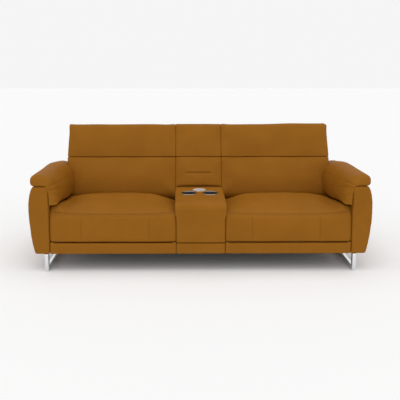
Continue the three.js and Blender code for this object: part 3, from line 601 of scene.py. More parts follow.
def unsettle(piece: Piece, height: float, size: float, seed: float) -> None:
    """Gives the skin the slight unevenness of filling under leather.

    Args:
        piece: A fine, closed mesh.
        height: How far the skin rises or falls.
        size: The width of one swell.
        seed: Moves the pattern, so that no two pieces share it.
    """
    places, facing = positions(piece), positions(piece, "normal")
    shift = Vector((seed, 2 * seed, 3 * seed))
    wave = np.array([noise.noise(Vector(place) / size + shift) for place in places])
    move_to(piece, places + facing * (height * wave)[:, None])


def meet(piece: Piece, ends: Iterable[float]) -> None:
    """Sets the skin that faces along X flat onto planes, so that neighbours lie close.

    Args:
        piece: A fine, closed mesh.
        ends: Where along X it meets its neighbours.
    """
    reach = 30 * MM
    places, facing = positions(piece), positions(piece, "normal")
    middle = (places[:, 0].min() + places[:, 0].max()) / 2
    for end in ends:
        way = math.copysign(1, end - middle)
        near = np.abs(places[:, 0] - end) < reach
        share = ramp(way * facing[:, 0], 0.4, 0.85) * near
        places[:, 0] += share * (end - places[:, 0])
        places[:, 0] = way * np.minimum(way * places[:, 0], way * end)
    move_to(piece, places)


def press(piece: Piece, axis: int, at: float, reach: float) -> None:
    """Presses the skin near a plane flat onto it.

    Args:
        piece: A fine, closed mesh.
        axis: The axis that the plane stands across, 0 to 2.
        at: Its place along that axis.
        reach: How near a point has to be.
    """
    places = positions(piece)
    near = np.abs(places[:, axis] - at) < reach
    places[near, axis] = at
    move_to(piece, places)


@dataclass(frozen=True)
class Form:
    """A padded form: an outline carried along X or Y, its edges rounded and its skin swollen.

    Attributes:
        name: The piece's name.
        outline: Its corners, in order: Y and Z where it runs along X, X and Z along Y.
        start: Where it starts along its axis.
        end: Where it ends.
        voxel: The grid of its skin.
        eased: How often the skin is smoothed before it swells.
        along_x: Whether it runs along X.
        swell: How far the fullest place stands proud.
        held: Which points stay put while it swells.
        finer: How often the finished skin is subdivided.
    """

    name: str
    outline: tuple[Corner, ...]
    start: float
    end: float
    voxel: float
    eased: int
    along_x: bool = True
    swell: float = 0.0
    held: Test = lambda at, way: False
    finer: int = 1

    def at(self, corner: Corner, run: float) -> Vector:
        """The place of a corner at a distance along the axis."""
        if self.along_x:
            return Vector((run, corner.across, corner.up))
        return Vector((corner.across, run, corner.up))

    def rough(self) -> Piece:
        """The bare block: its outline, extruded and rounded."""
        add = bpy.ops.mesh.primitive_circle_add
        piece = started(self.name, add, vertices=len(self.outline), fill_type="NGON")
        for point, corner in zip(piece.data.vertices, self.outline):
            point.co = self.at(corner, self.start)
        length = self.end - self.start
        travel = (length, 0, 0) if self.along_x else (0, length, 0)
        with picked(piece, Pick.FACES, lambda at, way: True):
            bpy.ops.mesh.extrude_region_move(TRANSFORM_OT_translate={"value": travel})
        face_out(piece)
        self.round_off(piece)
        return piece

    def nearest(self, place: Vector) -> int:
        """Which corner of the outline a point of the block lies at."""
        run = place.x if self.along_x else place.y
        gaps = [(self.at(corner, run) - place).length for corner in self.outline]
        return gaps.index(min(gaps))

    def reach_of(self, a: Vector, b: Vector) -> float:
        """How far the rounding of the edge between two points of the block reaches."""
        first, second = self.nearest(a), self.nearest(b)
        if first == second:
            return self.outline[first].reach
        if (first + 1) % len(self.outline) == second:
            return self.outline[first].rim
        return self.outline[second].rim

    def round_off(self, piece: Piece) -> None:
        """Rounds each edge of the block by its own reach, through bevel weights."""
        most = max(max(corner.reach, corner.rim) for corner in self.outline)
        mesh = piece.data
        weights = mesh.attributes.new("bevel_weight_edge", "FLOAT", "EDGE")
        for edge in mesh.edges:
            a, b = (mesh.vertices[i].co for i in edge.vertices)
            weights.data[edge.index].value = self.reach_of(a, b) / most
        settings = {"limit_method": "WEIGHT", "use_clamp_overlap": False}
        modify(piece, "BEVEL", width=most, segments=5, **settings)

    def made(self, lugs: Iterable[Piece] = ()) -> Piece:
        """The finished form, before its seams.

        Args:
            lugs: Further blocks that become one skin with it.

        Returns:
            A closed mesh of even quads.
        """
        piece = self.rough()
        if lugs:
            only(piece)
            for lug in lugs:
                lug.select_set(True)
            bpy.ops.object.join()
        modify(piece, "REMESH", mode="VOXEL", voxel_size=self.voxel, use_smooth_shade=True)
        if self.eased:
            modify(piece, "SMOOTH", factor=0.5, iterations=self.eased)
        if self.swell:
            swell(piece, self.swell, self.held)
        if self.finer:
            modify(piece, "SUBSURF", levels=self.finer, render_levels=self.finer)
        shade(piece)
        return piece


def averaged(piece: Piece, field: np.ndarray, rounds: int) -> np.ndarray:
    """Evens out a field over a mesh: each point takes on half of what its neighbours have.

    Args:
        piece: The mesh.
        field: One row for each point.
        rounds: How often it is done.

    Returns:
        The even field.
    """
    ends = np.empty(len(piece.data.edges) * 2, int)
    piece.data.edges.foreach_get("vertices", ends)
    a, b = ends.reshape(-1, 2).T
    count = np.bincount(ends, minlength=len(field))[:, None]
    for _ in range(rounds):
        total = np.zeros_like(field)
        np.add.at(total, a, field[b])
        np.add.at(total, b, field[a])
        field = (field + total / count) / 2
    return field


def swell(piece: Piece, height: float, held: Test) -> None:
    """Blows a form up as cloth, then scales what it gained to a set height.

    Args:
        piece: A closed mesh of even quads.
        height: How far the fullest place stands proud at the end.
        held: Which points stay put.
    """
    frames, full, rounds, least = 20, 99.0, 14, 0.1 * MM
    rest = positions(piece)
    pinned = piece.vertex_groups.new(name="held")
    fixed = [p.index for p in piece.data.vertices if held(p.co, p.normal)]
    pinned.add(fixed, 1.0, "REPLACE")
    cloth = piece.modifiers.new("Cloth", "CLOTH")
    skin = cloth.settings
    skin.quality = 4
    skin.mass = 0.4
    skin.vertex_group_mass = pinned.name
    skin.use_pressure = True
    skin.uniform_pressure_force = 4.0
    skin.effector_weights.gravity = 0.0
    cloth.point_cache.frame_start = 1
    cloth.point_cache.frame_end = frames
    for step in range(1, frames + 1):
        bpy.context.scene.frame_set(step)
    only(piece)
    bpy.ops.object.modifier_apply(modifier=cloth.name)
    bpy.context.scene.frame_set(1)
    gained = averaged(piece, positions(piece) - rest, rounds)
    fullest = np.percentile(np.linalg.norm(gained, axis=1), full)
    move_to(piece, rest + gained * (height / max(fullest, least)))
    piece.vertex_groups.clear()


@dataclass(frozen=True)
class StitchRow:
    """A row of stitches laid on the skin of a piece along a straight run.

    Attributes:
        name: The row's name.
        start: Its first stitch, near the skin.
        end: Its last stitch.
        facing: The way that the skin faces.
        sag: How far its middle lies below the straight.
        pitch: The distance from stitch to stitch.
        length: The length of one stitch.
        thread: The thread's diameter.
        proud_share: How far a stitch's middle stands off the skin, as a share of the thread.
        reach: How far off the skin the run may lie.
    """

    name: str
    start: Vector
    end: Vector
    facing: Vector
    sag: float
    pitch: float = 8 * MM
    length: float = 5.6 * MM
    thread: float = 1.0 * MM
    proud_share: float = 0.2
    reach: float = 60 * MM

    def sewn(self, piece: Piece) -> Piece:
        """Lays the row on a piece.

        Args:
            piece: The piece that it is sewn through.

        Returns:
            The row, one mesh of many stitches.
        """
        add = bpy.ops.mesh.primitive_uv_sphere_add
        row = started(self.name, add, segments=6, ring_count=4, radius=self.thread / 2)
        stitch = positions(row)
        stitch[:, 0] += np.sign(stitch[:, 0]) * (self.length - self.thread) / 2
        stitch_faces = [list(face.vertices) for face in row.data.polygons]
        run = self.end - self.start
        count = int(run.length / self.pitch)
        points: list[np.ndarray] = []
        faces: list[list[int]] = []
        for k in range(count):
            share = (k + 0.5) / count
            at = self.start + run * share - UP * self.sag * 4 * share * (1 - share)
            hit, place, normal, _ = piece.ray_cast(at + self.facing * self.reach, -self.facing)
            if not hit:
                continue
            along = (run - normal * run.dot(normal)).normalized()
            turn = Matrix((along, normal.cross(along), normal)).transposed()
            middle = place + normal * self.thread * self.proud_share
            first = len(points) * len(stitch)
            points.append(stitch @ np.array(turn).T + np.array(middle))
            faces.extend([i + first for i in face] for face in stitch_faces)
        row.data.clear_geometry()
        row.data.from_pydata(np.concatenate(points).tolist(), [], faces)
        shade(row)
        return row


class Shop:
    """Where pieces are finished: each is dressed, joined to its body and reported."""

    def __init__(self, store: Store) -> None:
        """Takes the store of materials."""
        self.store = store

    def fit(
        self,
        piece: Piece,
        body: str,
        slot: str,
        replaces: Iterable[str] = (),
        fill: float | None = None,
    ) -> None:
        """Dresses a piece and lets it ride on its body.

        Args:
            piece: The finished piece.
            body: The body that carries it.
            slot: The record's material slot.
            replaces: The frame's nodes that it stands for.
            fill: How full a padded piece is, or None for a hard one; not used.
        """
        self.store.dress(piece, slot)
        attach(piece, body)
        if replaces:
            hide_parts(*replaces)
        LOG.info("%s rides on %s with %d faces", piece.name, body, len(piece.data.polygons))

    def upholster(
        self,
        piece: Piece,
        node_name: str,
        fill: float,
        uneven: tuple[float, float, float],
        ends: Iterable[float] = (),
        creases: Iterable[Crease] = (),
        body: str = "base",
    ) -> None:
        """Gives a padded piece its skin, and fits it in leather for one of the frame's nodes.

        Args:
            piece: A fine, closed mesh.
            node_name: The node that it stands for.
            fill: How full it is.
            uneven: The height, the size and the seed of the skin's unevenness.
            ends: Where along X it meets its neighbours.
            creases: Its seams and folds, each with painted shade along it.
            body: The body that carries it.
        """
        unsettle(piece, *uneven)
        if ends:
            meet(piece, ends)
        if creases:
            draw_in(piece, creases)
        self.fit(piece, body, "leather", [node_name], fill=fill)

    def sew(self, row: StitchRow, piece: Piece, body: str) -> None:
        """Lays a row of stitches on a piece that rides on a body."""
        made = row.sewn(piece)
        self.store.dress(made, "leather", finish="thread")
        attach(made, body)
        LOG.info("%s sewn with %d faces", made.name, len(made.data.polygons))


# What several assemblies share: the leaning back, the joints between units, the pads' lower edge


@dataclass(frozen=True)
class Lean:
    """The leaning back: its upper front edge, its angle, and places measured from them."""

    edge_y: float = 0.185
    edge_z: float = 0.672
    degrees: float = 20.8

    def point(self, down: float, inward: float) -> tuple[float, float]:
        """Y and Z of a point: down the face from its upper edge, and in from the face."""
        turn = math.radians(self.degrees)
        y = self.edge_y - down * math.sin(turn) + inward * math.cos(turn)
        return y, self.edge_z - down * math.cos(turn) - inward * math.sin(turn)

    def y_at(self, inward: float, z: float) -> float:
        """Where the plane at this distance behind the face reaches a height."""
        y, at = self.point(0, inward)
        return y + (z - at) * math.tan(math.radians(self.degrees))


def drop_bottom(y: np.ndarray | float) -> np.ndarray | float:
    """Height of the lower edge of an arm pad's inner drop, which climbs towards the front."""
    rear_height, climb = 0.412, 42 * MM
    return rear_height + climb * (1 - ramp(y, -0.42, -0.02))


LEAN = Lean()
JOINS = {"left": (-0.1764,), "middle": (-0.1756, 0.1756), "right": (0.1764,)}
UP = Vector((0, 0, 1))


# Sub-assemblies


@dataclass
class Carcass:
    """What the upholstery stands on: rails, springs, frames and hinges, all from the frame."""

    shop: Shop

    def build(self) -> None:
        """Gives each piece of the frame the finish of its slot."""
        for row in frame["record"]["subparts"]:
            self.shop.store.dress(frame["nodes"][row["node"]], row["material_slot"])


@dataclass
class SledLegs:
    """Two chromed loops of flat bar."""

    shop: Shop
    bar: float = 30 * MM
    plate: float = 8 * MM
    corner: float = 6 * MM
    edge: float = 1.6 * MM

    def build(self) -> None:
        """Makes the left loop and mirrors it."""
        left = self.loop("chromed_sled_leg_left", *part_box("sled_leg_left"))
        right = mirrored(left, "chromed_sled_leg_right")
        for piece, side in zip((left, right), Side):
            shade(piece, 35)
            self.shop.fit(piece, "base", "leg_chrome", [f"sled_leg_{side.word}"])

    def loop(self, name: str, low: Vector, high: Vector) -> Piece:
        """One loop: a slab with its middle let out, and all its edges eased.

        Args:
            name: The piece's name.
            low: Its lowest corner.
            high: Its highest corner.

        Returns:
            The loop.
        """
        piece = block(name, low, high)
        front, rear = low.y + MM, high.y - MM
        opening, top = low.z + self.bar + MM, high.z - MM
        middle = (low + high) / 2

        def upper_inside(at: Vector, way: Vector) -> bool:
            """Whether a point is an upper one of the inset."""
            return opening < at.z < top and front < at.y < rear

        def inset_face(at: Vector, way: Vector) -> bool:
            """Whether a face is the inset one of a side."""
            return abs(way.x) > SQUARE and (at - middle).yz.length < self.bar

        def outer_edge(at: Vector, way: Vector) -> bool:
            """Whether an edge is one of the four outer ones along X."""
            return abs(way.x) > SQUARE and not front < at.y < rear

        with picked(piece, Pick.FACES, lambda at, way: abs(way.x) > SQUARE):
            bpy.ops.mesh.inset(thickness=self.bar, depth=0.0, use_individual=True)
        with picked(piece, Pick.POINTS, upper_inside):
            bpy.ops.transform.translate(value=(0, 0, self.bar - self.plate))
        with picked(piece, Pick.FACES, inset_face):
            bpy.ops.mesh.bridge_edge_loops()
        with picked(piece, Pick.EDGES, outer_edge):
            bpy.ops.mesh.bevel(offset=self.corner, segments=8, affect="EDGES")
        ease(piece, self.edge, sharp=0.6)
        face_out(piece)
        return piece


@dataclass
class FrontBands:
    """The upholstered rail under each seat, whose ends rise to close the slit below the seat."""

    shop: Shop
    rounding: float = 6 * MM
    rim: float = 4 * MM
    set_back: float = 1.5 * MM
    lug: float = 21 * MM
    lug_top: float = 0.2004
    lug_depth: float = 30 * MM

    def build(self) -> None:
        """Makes the middle band, the left one and its mirror image."""
        middle = self.band("front_band_middle", lugs=False)
        left = self.band("front_band_left", lugs=True)
        right = mirrored(left, "leather_front_band_right")
        for piece, name, seed in ((middle, "middle", 3.0), (left, "left", 5.0), (right, "right", 8.0)):
            self.shop.upholster(piece, f"front_band_{name}", 0.9, (1.0 * MM, 90 * MM, seed))

    def bar(self, name: str, start: float, end: float, low: Vector, high: Vector) -> Form:
        """A length of padded rail between two places along X."""
        front = low.y + self.set_back
        corners = (
            Corner(front, low.z, self.rounding, self.rim),
            Corner(high.y, low.z, self.rim, self.rim),
            Corner(high.y, high.z, self.rim, self.rim),
            Corner(front, high.z, self.rounding, self.rim),
        )
        return Form(name, corners, start, end, voxel=4 * MM, eased=1, finer=0)

    def band(self, node_name: str, lugs: bool) -> Piece:
        """One band, with or without its raised ends."""
        low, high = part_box(node_name)
        raised = Vector((high.x, low.y + self.lug_depth, self.lug_top))
        spans = ((low.x, low.x + self.lug), (high.x - self.lug, high.x)) if lugs else ()
        ends = [self.bar(f"lug_{k}", *span, low, raised).rough() for k, span in enumerate(spans)]
        return self.bar(f"leather_{node_name}", low.x, high.x, low, high).made(ends)


@dataclass
class SeatCushions:
    """Two side seats: a crowned top and a puffed front, joined by a stitched nose seam.

    Attributes:
        slack: How far the top lies below its node's before it swells.
        set_back: How far the front lies behind its node's before it swells.
        seam_z: Height of the nose seam at its ends.
        seam_sag: How much lower it runs in the middle.
        seam_step: How far the second row of the seam lies below the first.
        stitch_rise: How far the upper row of stitches lies above the seam.
        front_seams: Where the upright seams of the front are, as distances from the middle.
        upper: The heights between which the top's shaping sets in.
        rearward: Where along Y the fall of the crown sets in.
        shoulder: How far in from an end the crown starts to fall.
        inner_fall: How far the crown falls at its rear beside the console.
        outer_fall: The same beside the arm.
        rise: How far the seat swells up in front, under the arm's pad.
        armward: Where towards the arm that rise sets in.
        nose_run: Where along Y it sets in.
        arch: How far it rises at its rear, against the lumbar cushion.
        arch_run: Where along Y that arch sets in.
        arch_at: The middle of that arch, and half its width.
        pad_inner: Where the arm pad's inner drop starts.
    """

    shop: Shop
    slack: float = 26 * MM
    set_back: float = 7 * MM
    nose: float = 46 * MM
    seam_y: float = -0.459
    seam_z: float = 0.417
    seam_sag: float = 13 * MM
    seam_step: float = 15 * MM
    stitch_rise: float = 5 * MM
    front_seams: tuple[float, float] = (0.802, 0.345)
    front_seam_z: float = 0.295
    crown: float = 26 * MM
    upper: tuple[float, float] = (0.28, 0.40)
    rearward: tuple[float, float] = (-0.38, 0.04)
    shoulder: float = 210 * MM
    inner_fall: float = 44 * MM
    outer_fall: float = 16 * MM
    rise: float = 40 * MM
    armward: tuple[float, float] = (0.90, 0.975)
    nose_run: tuple[float, float] = (-0.455, -0.41)
    arch: float = 24 * MM
    arch_run: tuple[float, float] = (-0.30, 0.03)
    arch_at: tuple[float, float] = (-0.60, 0.43)
    pad_inner: float = 0.953

    def build(self) -> None:
        """Makes the left seat, mirrors it, and sews both."""
        low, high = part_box("seat_cushion_left")
        top = high.z - self.slack
        front = low.y + self.set_back
        corners = (
            Corner(front, low.z, 5 * MM, 6 * MM),
            Corner(high.y, low.z, 12 * MM, 20 * MM),
            Corner(high.y, top, 14 * MM, 18 * MM),
            Corner(front, top, self.nose, 9 * MM),
        )

        def held(at: Vector, way: Vector) -> bool:
            """The foot, the lower rear and the nose seam stay put while the seat swells."""
            foot = at.z < low.z + 12 * MM
            rear = at.y > high.y - 12 * MM and at.z < top - 50 * MM
            return foot or rear or (abs(at.z - self.seam_z) < 8 * MM and at.y < front + 30 * MM)

        skin = {"voxel": 9 * MM, "swell": self.crown, "eased": 3, "held": held}
        left = Form("leather_seat_left", corners, low.x, high.x, **skin).made()
        self.settle_top(left, low, high)
        right = mirrored(left, "leather_seat_right")
        for piece, side in zip((left, right), Side):
            self.finish(piece, side, low, high)

    def settle_top(self, piece: Piece, low: Vector, high: Vector) -> None:
        """Lets the crown fall to the ends, and squeezes the seat in under the arm's pad.

        Args:
            piece: The left seat.
            low: Its node's lowest corner.
            high: Its node's highest corner.
        """
        places = positions(piece)
        x, y, z = places.T
        top = ramp(z, *self.upper)
        inner = ramp(x, high.x - self.shoulder, high.x + 30 * MM)
        outer = ramp(-x, -low.x - self.shoulder, -low.x)
        rear = ramp(y, *self.rearward)
        z = z - top * rear * (self.inner_fall * inner + self.outer_fall * outer)
        z = z + top * self.rise * ramp(-x, *self.armward) * ramp(y, *self.nose_run) * (1 - rear)
        middle, half = self.arch_at
        bowed = np.clip(1 - ((x - middle) / half) ** 2, 0, 1)
        z = z + top * self.arch * ramp(y, *self.arch_run) * bowed
        z = np.where(-x > self.pad_inner, np.minimum(z, drop_bottom(y) + 2 * MM), z)
        places[:, 0] = np.clip(x, low.x, high.x)
        places[:, 2] = z
        move_to(piece, places)

    def finish(self, piece: Piece, side: Side, low: Vector, high: Vector) -> None:
        """Draws the seams of one seat with painted shade in them, lays its stitches and fits it.

        Args:
            piece: The seat's form.
            side: Which seat it is.
            low: The left node's lowest corner.
            high: The left node's highest corner.
        """
        sign = side.value
        middle = -(low.x + high.x) / 2 * sign
        half = (high.x - low.x) / 2 - 12 * MM
        facing = (0.0, -0.85, 0.5)
        # The last number of each crease is the painted shade along its middle, for the nose seam and
        # the upright front seams.
        seams = ((0.0, 6 * MM, 3.0 * MM, 0.34), (self.seam_step, 5 * MM, 1.2 * MM, 0.12))
        creases = []
        for drop, *groove in seams:
            at = (middle, self.seam_y, self.seam_z - drop)
            creases.append(Crease(at, (1, 0, 0), facing, half, *groove, bow=self.seam_sag))
        for x in self.front_seams:
            at = (sign * x, low.y, self.front_seam_z)
            creases.append(Crease(at, (0, 0, 1), (0, -1, 0), 88 * MM, 5 * MM, 2 * MM, 0.22))
        uneven = (2.2 * MM, 150 * MM, 11.0 + sign)
        ends = (-sign * low.x, -sign * high.x)
        self.shop.upholster(piece, f"seat_cushion_{side.word}", 0.85, uneven, ends, creases)
        way = Vector(facing).normalized()
        for row, drop in enumerate((-self.stitch_rise, self.seam_step), start=1):
            start, end = (
                Vector((x, self.seam_y, self.seam_z - drop)) for x in (middle - half, middle + half)
            )
            stitches = StitchRow(f"stitches_seat_{side.word}_{row}", start, end, way, self.seam_sag)
            self.shop.sew(stitches, piece, "base")


@dataclass
class LowSeat:
    """The low middle seat, whose front carries on down from the console's nose."""

    shop: Shop
    flare: float = 9 * MM
    flare_from: tuple[float, float] = (0.355, 0.40)

    def build(self) -> None:
        """Makes the seat as a firm upholstered box that spreads a little under the console."""
        low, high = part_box("seat_cushion_middle")
        _, front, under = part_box("console_cushion")[0]
        foot, top = low.z + 2 * MM, under - 0.5 * MM
        corners = (
            Corner(front, foot, 6 * MM, 6 * MM),
            Corner(high.y, foot, 10 * MM, 10 * MM),
            Corner(high.y, top, 12 * MM, 3 * MM),
            Corner(front, top, 2 * MM, 8 * MM),
        )
        form = Form("leather_low_seat", corners, low.x, high.x, voxel=4 * MM, eased=0, finer=0)
        piece = form.made()
        places = positions(piece)
        places[:, 0] *= 1 + ramp(places[:, 2], *self.flare_from) * self.flare / high.x
        move_to(piece, places)
        press(piece, 2, under - 0.1 * MM, 3 * MM)
        press(piece, 1, front, 2.5 * MM)
        shade(piece, 50)
        self.shop.fit(piece, "base", "leather", ["seat_cushion_middle"], fill=0.9)


@dataclass
class LumbarCushions:
    """Three leaning cushions, full at the waist, the middle one with a sewn crease."""

    shop: Shop
    seeds: tuple[float, float, float] = (31.0, 35.0, 38.0)
    thickness: float = 130 * MM
    length: float = 330 * MM
    crease_z: float = 0.556
    crease_half: float = 118 * MM
    tuck_z: float = 0.458
    tuck_half: float = 172 * MM

    def build(self) -> None:
        """Makes the side cushions from one form, and the middle one."""
        left = self.cushion("lumbar_cushion_left", 17 * MM)
        right = mirrored(left, "leather_lumbar_cushion_right")
        middle = self.cushion("lumbar_cushion_middle", 14 * MM)
        for (name, ends), piece, seed in zip(JOINS.items(), (left, middle, right), self.seeds):
            folds = self.folds() if name == "middle" else ()
            uneven = (2.2 * MM, 160 * MM, seed)
            self.shop.upholster(piece, f"lumbar_cushion_{name}", 0.7, uneven, ends, folds)

    def cushion(self, node_name: str, swell_by: float) -> Piece:
        """The cushion that stands for one of the frame's lumbar nodes."""
        low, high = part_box(node_name)
        top = LEAN.edge_z + 1 * MM
        corners = (
            Corner(LEAN.edge_y, top, 4 * MM, 9 * MM),
            Corner(*LEAN.point(self.length, 0), 58 * MM, 14 * MM),
            Corner(*LEAN.point(self.length, self.thickness), 16 * MM, 6 * MM),
            Corner(LEAN.y_at(self.thickness, LEAN.edge_z), top, 8 * MM, 4 * MM),
        )
        rest = self.thickness - 12 * MM

        def held(at: Vector, way: Vector) -> bool:
            """The rear and the upper seam stay put while the cushion swells."""
            return at.y > LEAN.y_at(rest, at.z) or at.z > LEAN.edge_z - 6 * MM

        skin = {"voxel": 7 * MM, "swell": swell_by, "eased": 1, "held": held}
        return Form(f"leather_{node_name}", corners, low.x, high.x, **skin).made()

    def folds(self) -> list[Crease]:
        """The middle cushion's sewn crease, and the tuck where it meets the console's top, with painted
        shade.
        """
        turn = math.radians(LEAN.degrees)
        facing = (0, -math.cos(turn), math.sin(turn))
        # The fifth number of each row is painted shade; the tuck's dark one stands for the shadow in
        # the gap at the console's top.
        rows = (
            (self.crease_z, self.crease_half, 8 * MM, 6 * MM, 0.30, 40 * MM),
            (self.tuck_z, self.tuck_half, 9 * MM, 8 * MM, 0.75, 10 * MM),
        )
        return [
            Crease((0, LEAN.y_at(0, z), z), (1, 0, 0), facing, *groove, fade=fade)
            for z, *groove, fade in rows
        ]


@dataclass
class BackShells:
    """Three leather-covered backs, each wrapped round its timber frame to the cushion's rear.

    Attributes:
        seeds: One for each shell's unevenness.
        behind: How far behind the lean's face a shell starts.
        foot_front: Where the front of its foot is.
        foot_rear: Where the rear of its foot is.
        foot_top: How high the foot reaches.
        rounding: The rounding of its rear edges.
        rail: Front, rear and top of the cover on the frame's top rail.
        roll: The same of the roll on the shell's ledge.
        covers_low: Where both covers start.
        inset: How far they stay back from the shell's ends.
    """

    shop: Shop
    seeds: tuple[float, float, float] = (41.0, 44.0, 47.0)
    behind: float = 131 * MM
    foot_front: float = 0.357
    foot_rear: float = 0.395
    foot_top: float = 0.225
    rounding: float = 10 * MM
    rail: tuple[float, float, float] = (0.3165, 0.3580, 0.6727)
    roll: tuple[float, float, float] = (0.3810, 0.3950, 0.6665)
    covers_low: float = 0.648
    inset: float = 1.5 * MM

    def build(self) -> None:
        """Makes the middle shell, the left one and its mirror image, with the covers on each."""
        left = self.shell("back_shell_left")
        right = mirrored(left, "leather_back_shell_right")
        middle = self.shell("back_shell_middle")
        for (name, ends), piece, seed in zip(JOINS.items(), (left, middle, right), self.seeds):
            uneven = (1.2 * MM, 200 * MM, seed)
            self.shop.upholster(piece, f"back_shell_{name}", 0.9, uneven, ends)
            self.cover(name)

    def cover(self, name: str) -> None:
        """Leather over the frame's top rail, and a roll that closes the slot under the head."""
        low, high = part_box(f"back_shell_{name}")
        for part, (front, rear, top) in (("rail", self.rail), ("roll", self.roll)):
            start = (low.x + self.inset, front, self.covers_low)
            piece = block(f"leather_{part}_cover_{name}", start, (high.x - self.inset, rear, top))
            ease(piece, 3 * MM)
            shade(piece, 40)
            self.shop.fit(piece, "base", "leather")

    def shell(self, node_name: str) -> Piece:
        """One shell, from the seat frame up to the ledge behind the headrest."""
        low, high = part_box(node_name)
        corners = (
            Corner(self.foot_front, low.z, 6 * MM, 6 * MM),
            Corner(self.foot_rear, low.z, self.rounding, self.rounding),
            Corner(high.y, high.z, 16 * MM, self.rounding),
            Corner(LEAN.y_at(self.behind, high.z), high.z, 4 * MM, 4 * MM),
            Corner(LEAN.y_at(self.behind, self.foot_top), self.foot_top, 4 * MM, 4 * MM),
            Corner(self.foot_front, self.foot_top, 4 * MM, 4 * MM),
        )
        skin = {"voxel": 6 * MM, "eased": 2, "finer": 0}
        return Form(f"leather_{node_name}", corners, low.x, high.x, **skin).made()


@dataclass
class Headrests:
    """Three heads on ratchet hinges, and the gusset that closes the seam under each.

    Attributes:
        seeds: One for each head's unevenness.
        pivot_y: Where the hinges turn.
        proud: How far the heads stand over their nodes.
        lift: How much higher the right head's outer end lies.
        soft_corner: The rounding of that end.
        gusset_from_pivot: How far in front of the pivot a gusset lies.
        gusset_inset: How far it stays back from the unit's ends.
        gusset_depth: How deep one of its three folds is.
        gusset_thickness: The thickness of its leather.
    """

    shop: Shop
    seeds: tuple[float, float, float] = (51.0, 55.0, 58.0)
    pivot_y: float = 0.368
    proud: float = 18 * MM
    lift: float = 7 * MM
    soft_corner: float = 36 * MM
    gusset_from_pivot: float = 40 * MM
    gusset_inset: float = 14 * MM
    gusset_depth: float = 10 * MM
    gusset_thickness: float = 0.8 * MM

    def build(self) -> None:
        """Makes the three heads and their gussets."""
        left = self.head("headrest_cushion_left", 10 * MM)
        right = mirrored(left, "leather_headrest_cushion_right")
        middle = self.head("headrest_cushion_middle", 9 * MM)
        self.ease_corner(right)
        for (name, ends), piece, seed in zip(JOINS.items(), (left, middle, right), self.seeds):
            node_name, body = f"headrest_cushion_{name}", f"headrest_{name}"
            uneven = (2.2 * MM, 170 * MM, seed)
            self.shop.upholster(piece, node_name, 0.75, uneven, ends, body=body)
            self.gusset(name)

    def head(self, node_name: str, swell_by: float) -> Piece:
        """One head: full in front, rounded over its crown, thin at its heel."""
        low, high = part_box(node_name)
        top = high.z + self.proud
        corners = (
            Corner(LEAN.edge_y, low.z - 0.8 * MM, 4 * MM, 4 * MM),
            Corner(self.pivot_y + 12 * MM, low.z, 11 * MM, 20 * MM),
            Corner(high.y + 16 * MM, high.z - 16 * MM, 58 * MM, 11 * MM),
            Corner(LEAN.y_at(0, top), top, 26 * MM, 9 * MM),
        )

        def held(at: Vector, way: Vector) -> bool:
            """The underside and the heel stay put while the head swells."""
            return at.z < low.z + 6 * MM or at.y > self.pivot_y

        skin = {"voxel": 7 * MM, "swell": swell_by, "eased": 1, "held": held}
        return Form(f"leather_{node_name}", corners, low.x, high.x, **skin).made()

    def ease_corner(self, piece: Piece) -> None:
        """Lifts a right-hand head a little at its outer end, and rounds that end's corner off."""
        places = positions(piece)
        end, top = places[:, 0].max(), places[:, 2].max()
        places[:, 2] += self.lift * ramp(places[:, 0], 0.35, 0.85) * ramp(places[:, 2], 0.72, 0.9)
        middle = np.array((end - self.soft_corner, top + self.lift - self.soft_corner))
        offset = places[:, (0, 2)] - middle
        beyond = np.hypot(*offset.T)
        out = (offset.min(axis=1) > 0) & (beyond > self.soft_corner)
        pulled = middle + offset * (self.soft_corner / beyond)[:, None]
        places[out, 0] = pulled[out, 0]
        places[out, 2] = pulled[out, 1]
        move_to(piece, places)

    def gusset(self, name: str) -> None:
        """A folded strip of leather between lumbar cushion and headrest."""
        low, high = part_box(f"headrest_cushion_{name}")
        seam = LEAN.edge_z
        y = self.pivot_y - self.gusset_from_pivot
        deep = self.gusset_depth
        front = y - deep / 2 + MM
        piece = started(
            f"leather_gusset_{name}",
            bpy.ops.mesh.primitive_plane_add,
            (high.x - low.x - 2 * self.gusset_inset, deep, 1),
            size=1,
            location=((low.x + high.x) / 2, y, seam),
        )
        with picked(piece, Pick.EDGES, lambda at, way: at.y < front):
            for back, up in ((deep, 1.0 * MM), (-deep, 1.5 * MM)):
                bpy.ops.mesh.extrude_edges_move(TRANSFORM_OT_translate={"value": (0, back, up)})
        modify(piece, "SOLIDIFY", thickness=self.gusset_thickness, offset=0.0)
        self.shop.store.dress(piece, "leather")
        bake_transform(piece)
        LOG.info("gusset %s blends from base to headrest_%s", name, name)


